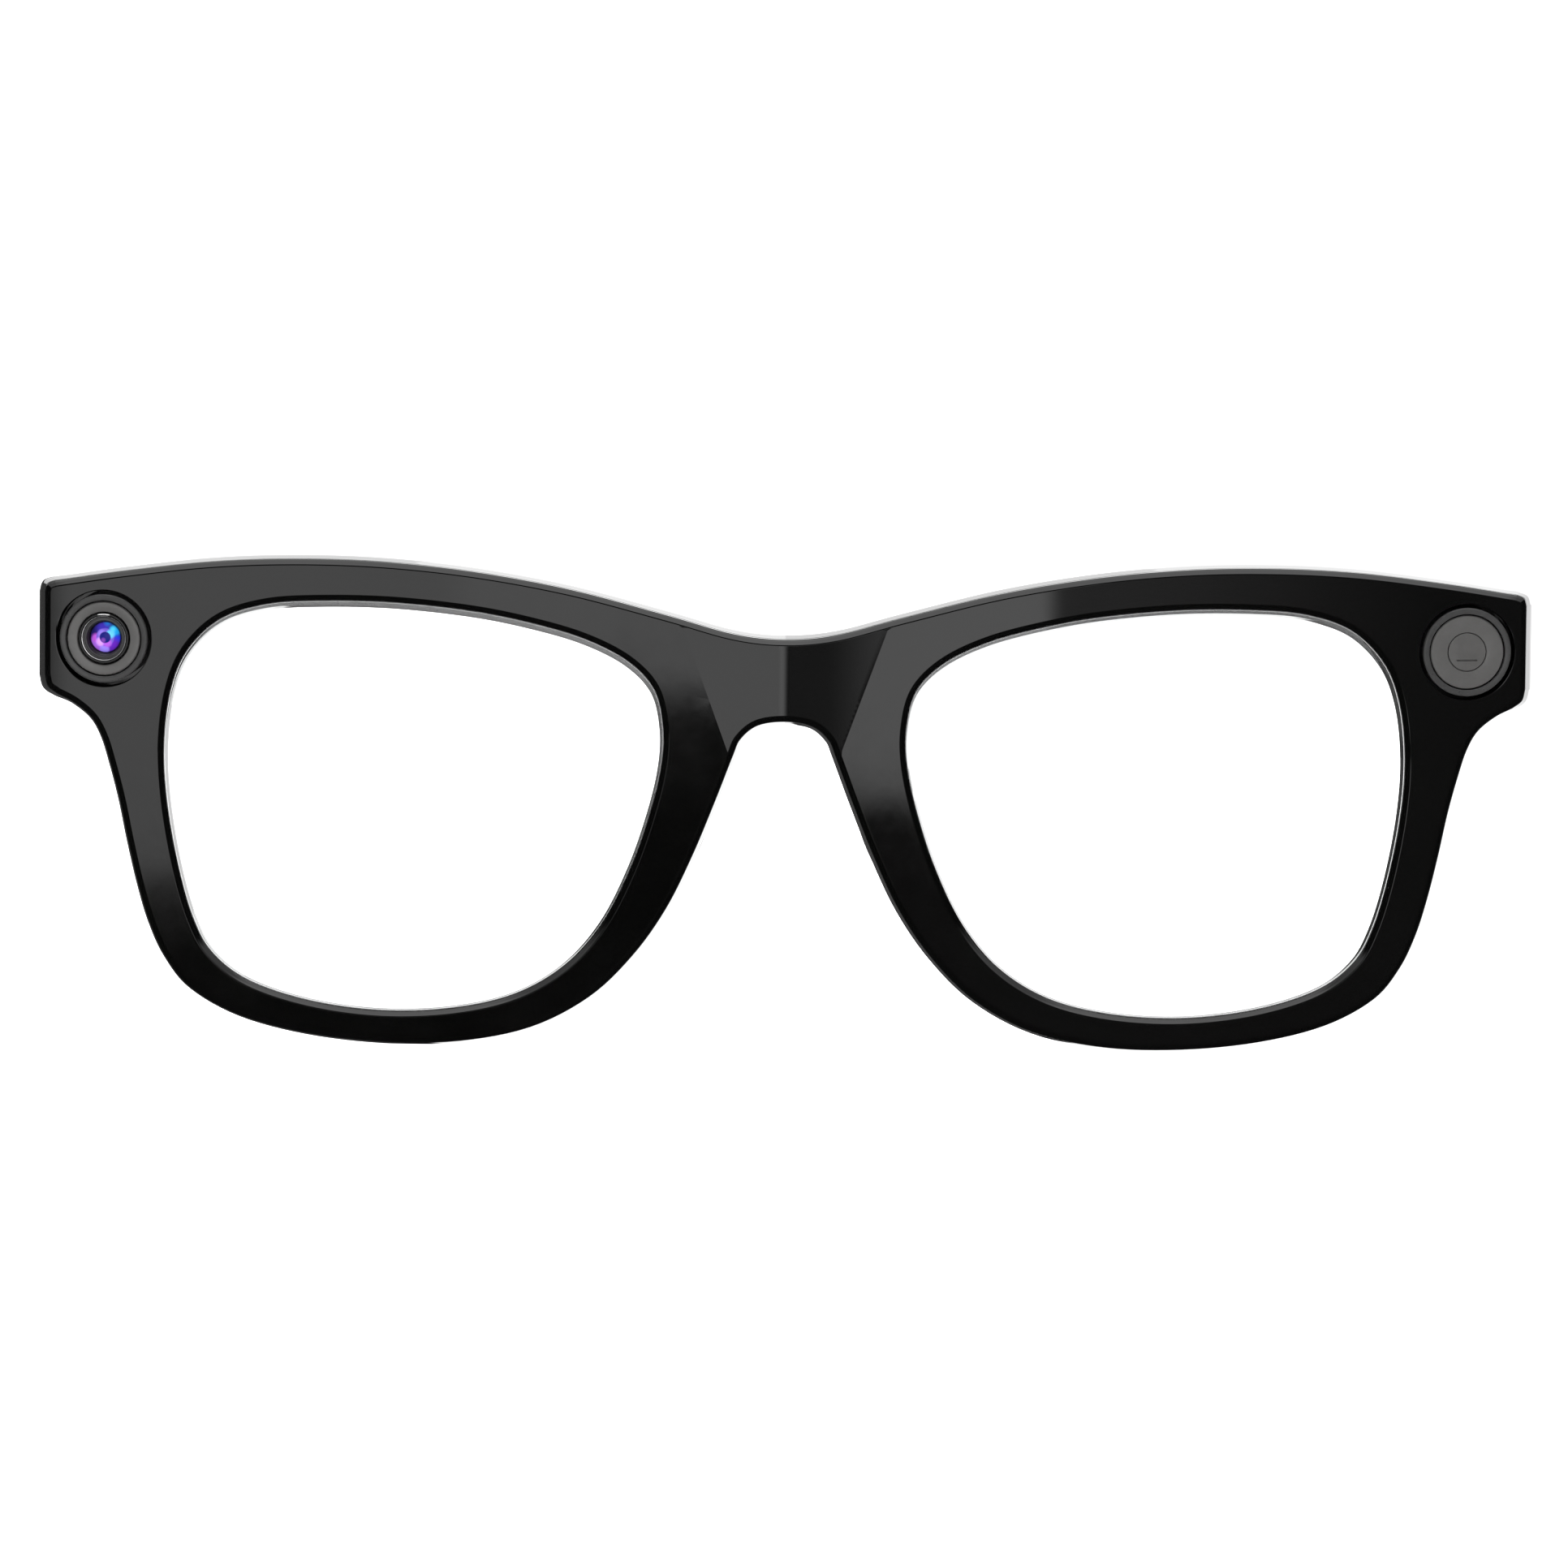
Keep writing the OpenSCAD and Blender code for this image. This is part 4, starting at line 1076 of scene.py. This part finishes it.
def temple_cutters(side):
    """Everything let into a temple: cover seat, hinge, speaker slot and the chambers of its control."""
    seat = spread(grown(np.array(COVER, float), 0.05), 4)
    floor = [(section_face(y, z, -1) + COVER_DEEP, y, z) for y, z in seat]
    cutters = [closed_solid("cover_seat", [[(60.0, y, z) for y, z in seat], floor]),
               prism("hinge_relief", disc_points(HINGE_X, HINGE_Y, HINGE_RELIEF), 12.2, 20.1),
               box_shape("leaf_slot", (60, 65.1), (HINGE_Y, 25.1), (14.65, 17.35)),
               box_shape("speaker_slot", (66.3, 69.1), (76.9, 85.1), (9.0, 12.9))]
    if side < 0:
        cutters += [prism("button_slot", button_shape(0.08), 18.0, 24.0),
                    prism("flange_chamber", button_shape(BUTTON_FLANGE + 0.12), 18.0, 19.08)]
    else:
        cutters.append(box_shape("slider_chamber", (62.0, 65.6), (31.4, 38.6), (14.0, 16.8)))
    return cutters


# ---------------------------------------------------------------- build

settle(front_shell(), "front", ["front_frame"], looks["frame"])
settle(rear_shell(), "front", ["rear_frame"], looks["frame"])
for side, word in ((-1, "right"), (1, "left")):
    settle(lens(side), "front", [f"lens_{word}"], looks["lens"])
    settle(nose_pad(side), "front", [f"nose_pad_{word}"], looks["pad"])
    settle(temple(side), f"temple_{word}", [f"temple_shell_{word}"], looks["frame"])
camera_parts()
light_parts()

def both(name):
    return [f"{name}_right", f"{name}_left"]


kept_looks = {
    "stop": ["camera_stop"],
    "module": ["camera_sensor_module", *both("speaker")],
    "chip": ["led_chip"],
    "board": ["led_board", "touch_board", "main_board"],
    "flex": ["brow_flex_cable"],
    "steel": ["bridge_microphone", "hinge_screws", "capture_switch", "power_switch", *both("hinge_leaf_front"),
              *both("hinge_leaf_temple"), *both("cover_screws")],
    "pad": ["charging_plate", "capture_button", "power_slider"],
    "gold": ["charging_contacts"],
    "cell": ["battery"],
    "mesh": both("speaker_mesh"),
    "frame": both("temple_cover"),
}
edge_widths = {"capture_button": 0.3, "power_slider": 0.12, "charging_plate": 0.12, "hinge_screws": 0.08,
               "charging_contacts": 0.05}
edge_widths.update(dict.fromkeys(both("temple_cover"), 0.12))
edge_widths.update(dict.fromkeys(both("hinge_leaf_front") + both("hinge_leaf_temple"), 0.1))
for look, names in kept_looks.items():
    for name in names:
        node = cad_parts[name]
        node.data.materials.clear()
        node.data.materials.append(looks[look])
        if name in edge_widths:
            bevelled(node, edge_widths[name])


# ---------------------------------------------------------------- studio

FLOOR_Z = -0.00002      # just under the part, in metres
VIEW_DISTANCE = 1400.0
VIEW_RISE = math.radians(1.75)
VIEW_ROLL = math.radians(0.58)
VIEW_WIDE = 152.4       # what the picture's width spans at that distance
AIM_Z = 2.68
SENSOR = 36.0


def studio_light():
    """A room of soft boxes as the sky: where each one lies is given in degrees of azimuth and elevation."""
    world = bpy.data.worlds.new("studio")
    bpy.context.scene.world = world
    world.use_nodes = True
    n = Nodes(world.node_tree)
    x, y, z = n.parts(n.add("ShaderNodeTexCoord").outputs["Generated"])
    to_degrees = 180 / math.pi
    azimuth = n.math("MULTIPLY", n.math("ARCTAN2", x, n.math("MULTIPLY", y, -1.0)), to_degrees)
    elevation = n.math("MULTIPLY", n.math("ARCSINE", z), to_degrees)

    def soft_box(level, left, right, low, high):
        """Each side is (where it starts to fade in, where it is full)."""
        value = level
        for angle, side in ((azimuth, left), (azimuth, right), (elevation, low), (elevation, high)):
            value = n.math("MULTIPLY", n.step(angle, *side), value)
        return value

    everywhere = ((-200, -190), (200, 190))
    boxes = [
        # on the viewer's side, mirrored by the face of the front
        soft_box(1.10, (-20.1, -19.1), (-8, -9.5), (-12.96, -12.86), (8, -3)),
        soft_box(0.35, (-60, -30), (-8, -9.5), (-12.96, -12.86), (8, -3)),
        soft_box(1.68, (-9.5, -8), (-0.6, -1.0), (-12.45, -12.31), (8, -3)),
        soft_box(1.88, (-1.0, -0.6), (7.4, 6.8), (-12.84, -12.74), (8, -3)),
        soft_box(1.62, (-20, -16), (3.5, -3.0), (-18.5, -17), (-14.1, -14.5)),
        soft_box(0.30, (-5.4, -3.8), (2.5, -1.0), (-18.5, -17), (-14.1, -14.5)),
        soft_box(0.10, (-3.0, 3.5), (16, 13), (-18.5, -17), (-14.1, -14.5)),
        soft_box(0.60, (9.3, 11.5), (16, 13), (-18.5, -17), (-14.1, -14.5)),
        soft_box(0.30, (6.8, 7.4), (18, 8), (-12.75, -12.45), (8, -3)),
        soft_box(0.05, (0, 6), (75, 60), (-50, -40), (30, 20)),
        # overhead, at the sides and behind, mirrored by edges, temples and rear faces
        soft_box(2.1, *everywhere, (48, 66), (200, 190)),
        soft_box(2.1, (112, 135), (200, 190), (-45, -34), (34, 26)),
        soft_box(1.7, (-200, -190), (-178.8, -179.3), (-45, -34), (34, 26)),
        soft_box(1.7, (-179.3, -178.8), (-112, -135), (9, 13), (34, 26)),
        soft_box(0.09, (-178.5, -177), (-100, -140), (-45, -34), (16, 6)),
        soft_box(0.9, (35, 60), (150, 110), (22, 34), (60, 48)),
        soft_box(0.9, (-150, -110), (-35, -60), (22, 34), (60, 48)),
    ]
    total = 0.02
    for value in boxes:
        total = n.math("ADD", value, total)
    background = world.node_tree.nodes["Background"]
    n.link(total, background.inputs["Color"])
    background.inputs["Strength"].default_value = 1.0


def backdrop_material(name, level):
    """Pale paper that also gives light of its own at a level."""
    material, n, shader = new_material(name)
    n.link(n.ramp(n.noise(3.0), [(0.3, grey(0.40)), (0.7, grey(0.42))]), shader.inputs["Base Color"])
    shader.inputs["Roughness"].default_value = 0.9
    shader.inputs["Emission Color"].default_value = (1, 1, 1, 1)
    shader.inputs["Emission Strength"].default_value = level
    return material


def backdrop(name, bm, material):
    """A piece of the set that doesn't show in the gloss, which mirrors the soft boxes."""
    mesh = bpy.data.meshes.new(name)
    bm.to_mesh(mesh)
    bm.free()
    mesh.materials.append(material)
    obj = bpy.data.objects.new(name, mesh)
    bpy.context.scene.collection.objects.link(obj)
    obj.visible_glossy = False
    return obj


def studio_set():
    """A pale floor and a white room round it."""
    bm = bmesh.new()
    bmesh.ops.create_grid(bm, x_segments=40, y_segments=40, size=3.0)
    for v in bm.verts:
        v.co.z = FLOOR_Z
    floor = backdrop("floor", bm, backdrop_material("floor_paper", 1.5))
    bm = bmesh.new()
    bmesh.ops.create_icosphere(bm, subdivisions=5, radius=4.0)
    bmesh.ops.reverse_faces(bm, faces=bm.faces)
    room = backdrop("room", bm, backdrop_material("room_white", 1.25))
    room.visible_diffuse = False
    room.visible_shadow = False


def overhead(name, location, size, power):
    """A soft lamp above the part that no gloss mirrors."""
    lamp = bpy.data.lights.new(name, "AREA")
    lamp.shape = "RECTANGLE"
    lamp.size, lamp.size_y = size
    lamp.energy = power
    obj = bpy.data.objects.new(name, lamp)
    obj.location = location
    aim = Vector((0, 0, 0.02)) - Vector(location)
    obj.rotation_euler = aim.to_track_quat("-Z", "Y").to_euler()
    obj.visible_glossy = False
    obj.visible_camera = False
    bpy.context.scene.collection.objects.link(obj)


def view_camera():
    """The photo's viewpoint: straight on, a little above the table, with a long lens."""
    cam = bpy.data.cameras.new("camera")
    cam.sensor_width = SENSOR
    cam.lens = SENSOR * VIEW_DISTANCE / VIEW_WIDE
    obj = bpy.data.objects.new("camera", cam)
    back = Vector((0, -math.cos(VIEW_RISE), math.sin(VIEW_RISE)))
    obj.location = place(0.0, 0.0, AIM_Z) + back * VIEW_DISTANCE * MM
    obj.rotation_euler = ((-back).to_track_quat("-Z", "Y").to_matrix().to_4x4()
                          @ Matrix.Rotation(VIEW_ROLL, 4, "Z")).to_euler()
    bpy.context.scene.collection.objects.link(obj)
    bpy.context.scene.camera = obj


studio_light()
studio_set()
overhead("key", (0.3, -0.5, 1.6), (1.6, 1.2), 18.0)
view_camera()
bpy.context.scene.view_settings.view_transform = "Standard"
bpy.context.scene.view_settings.look = "None"
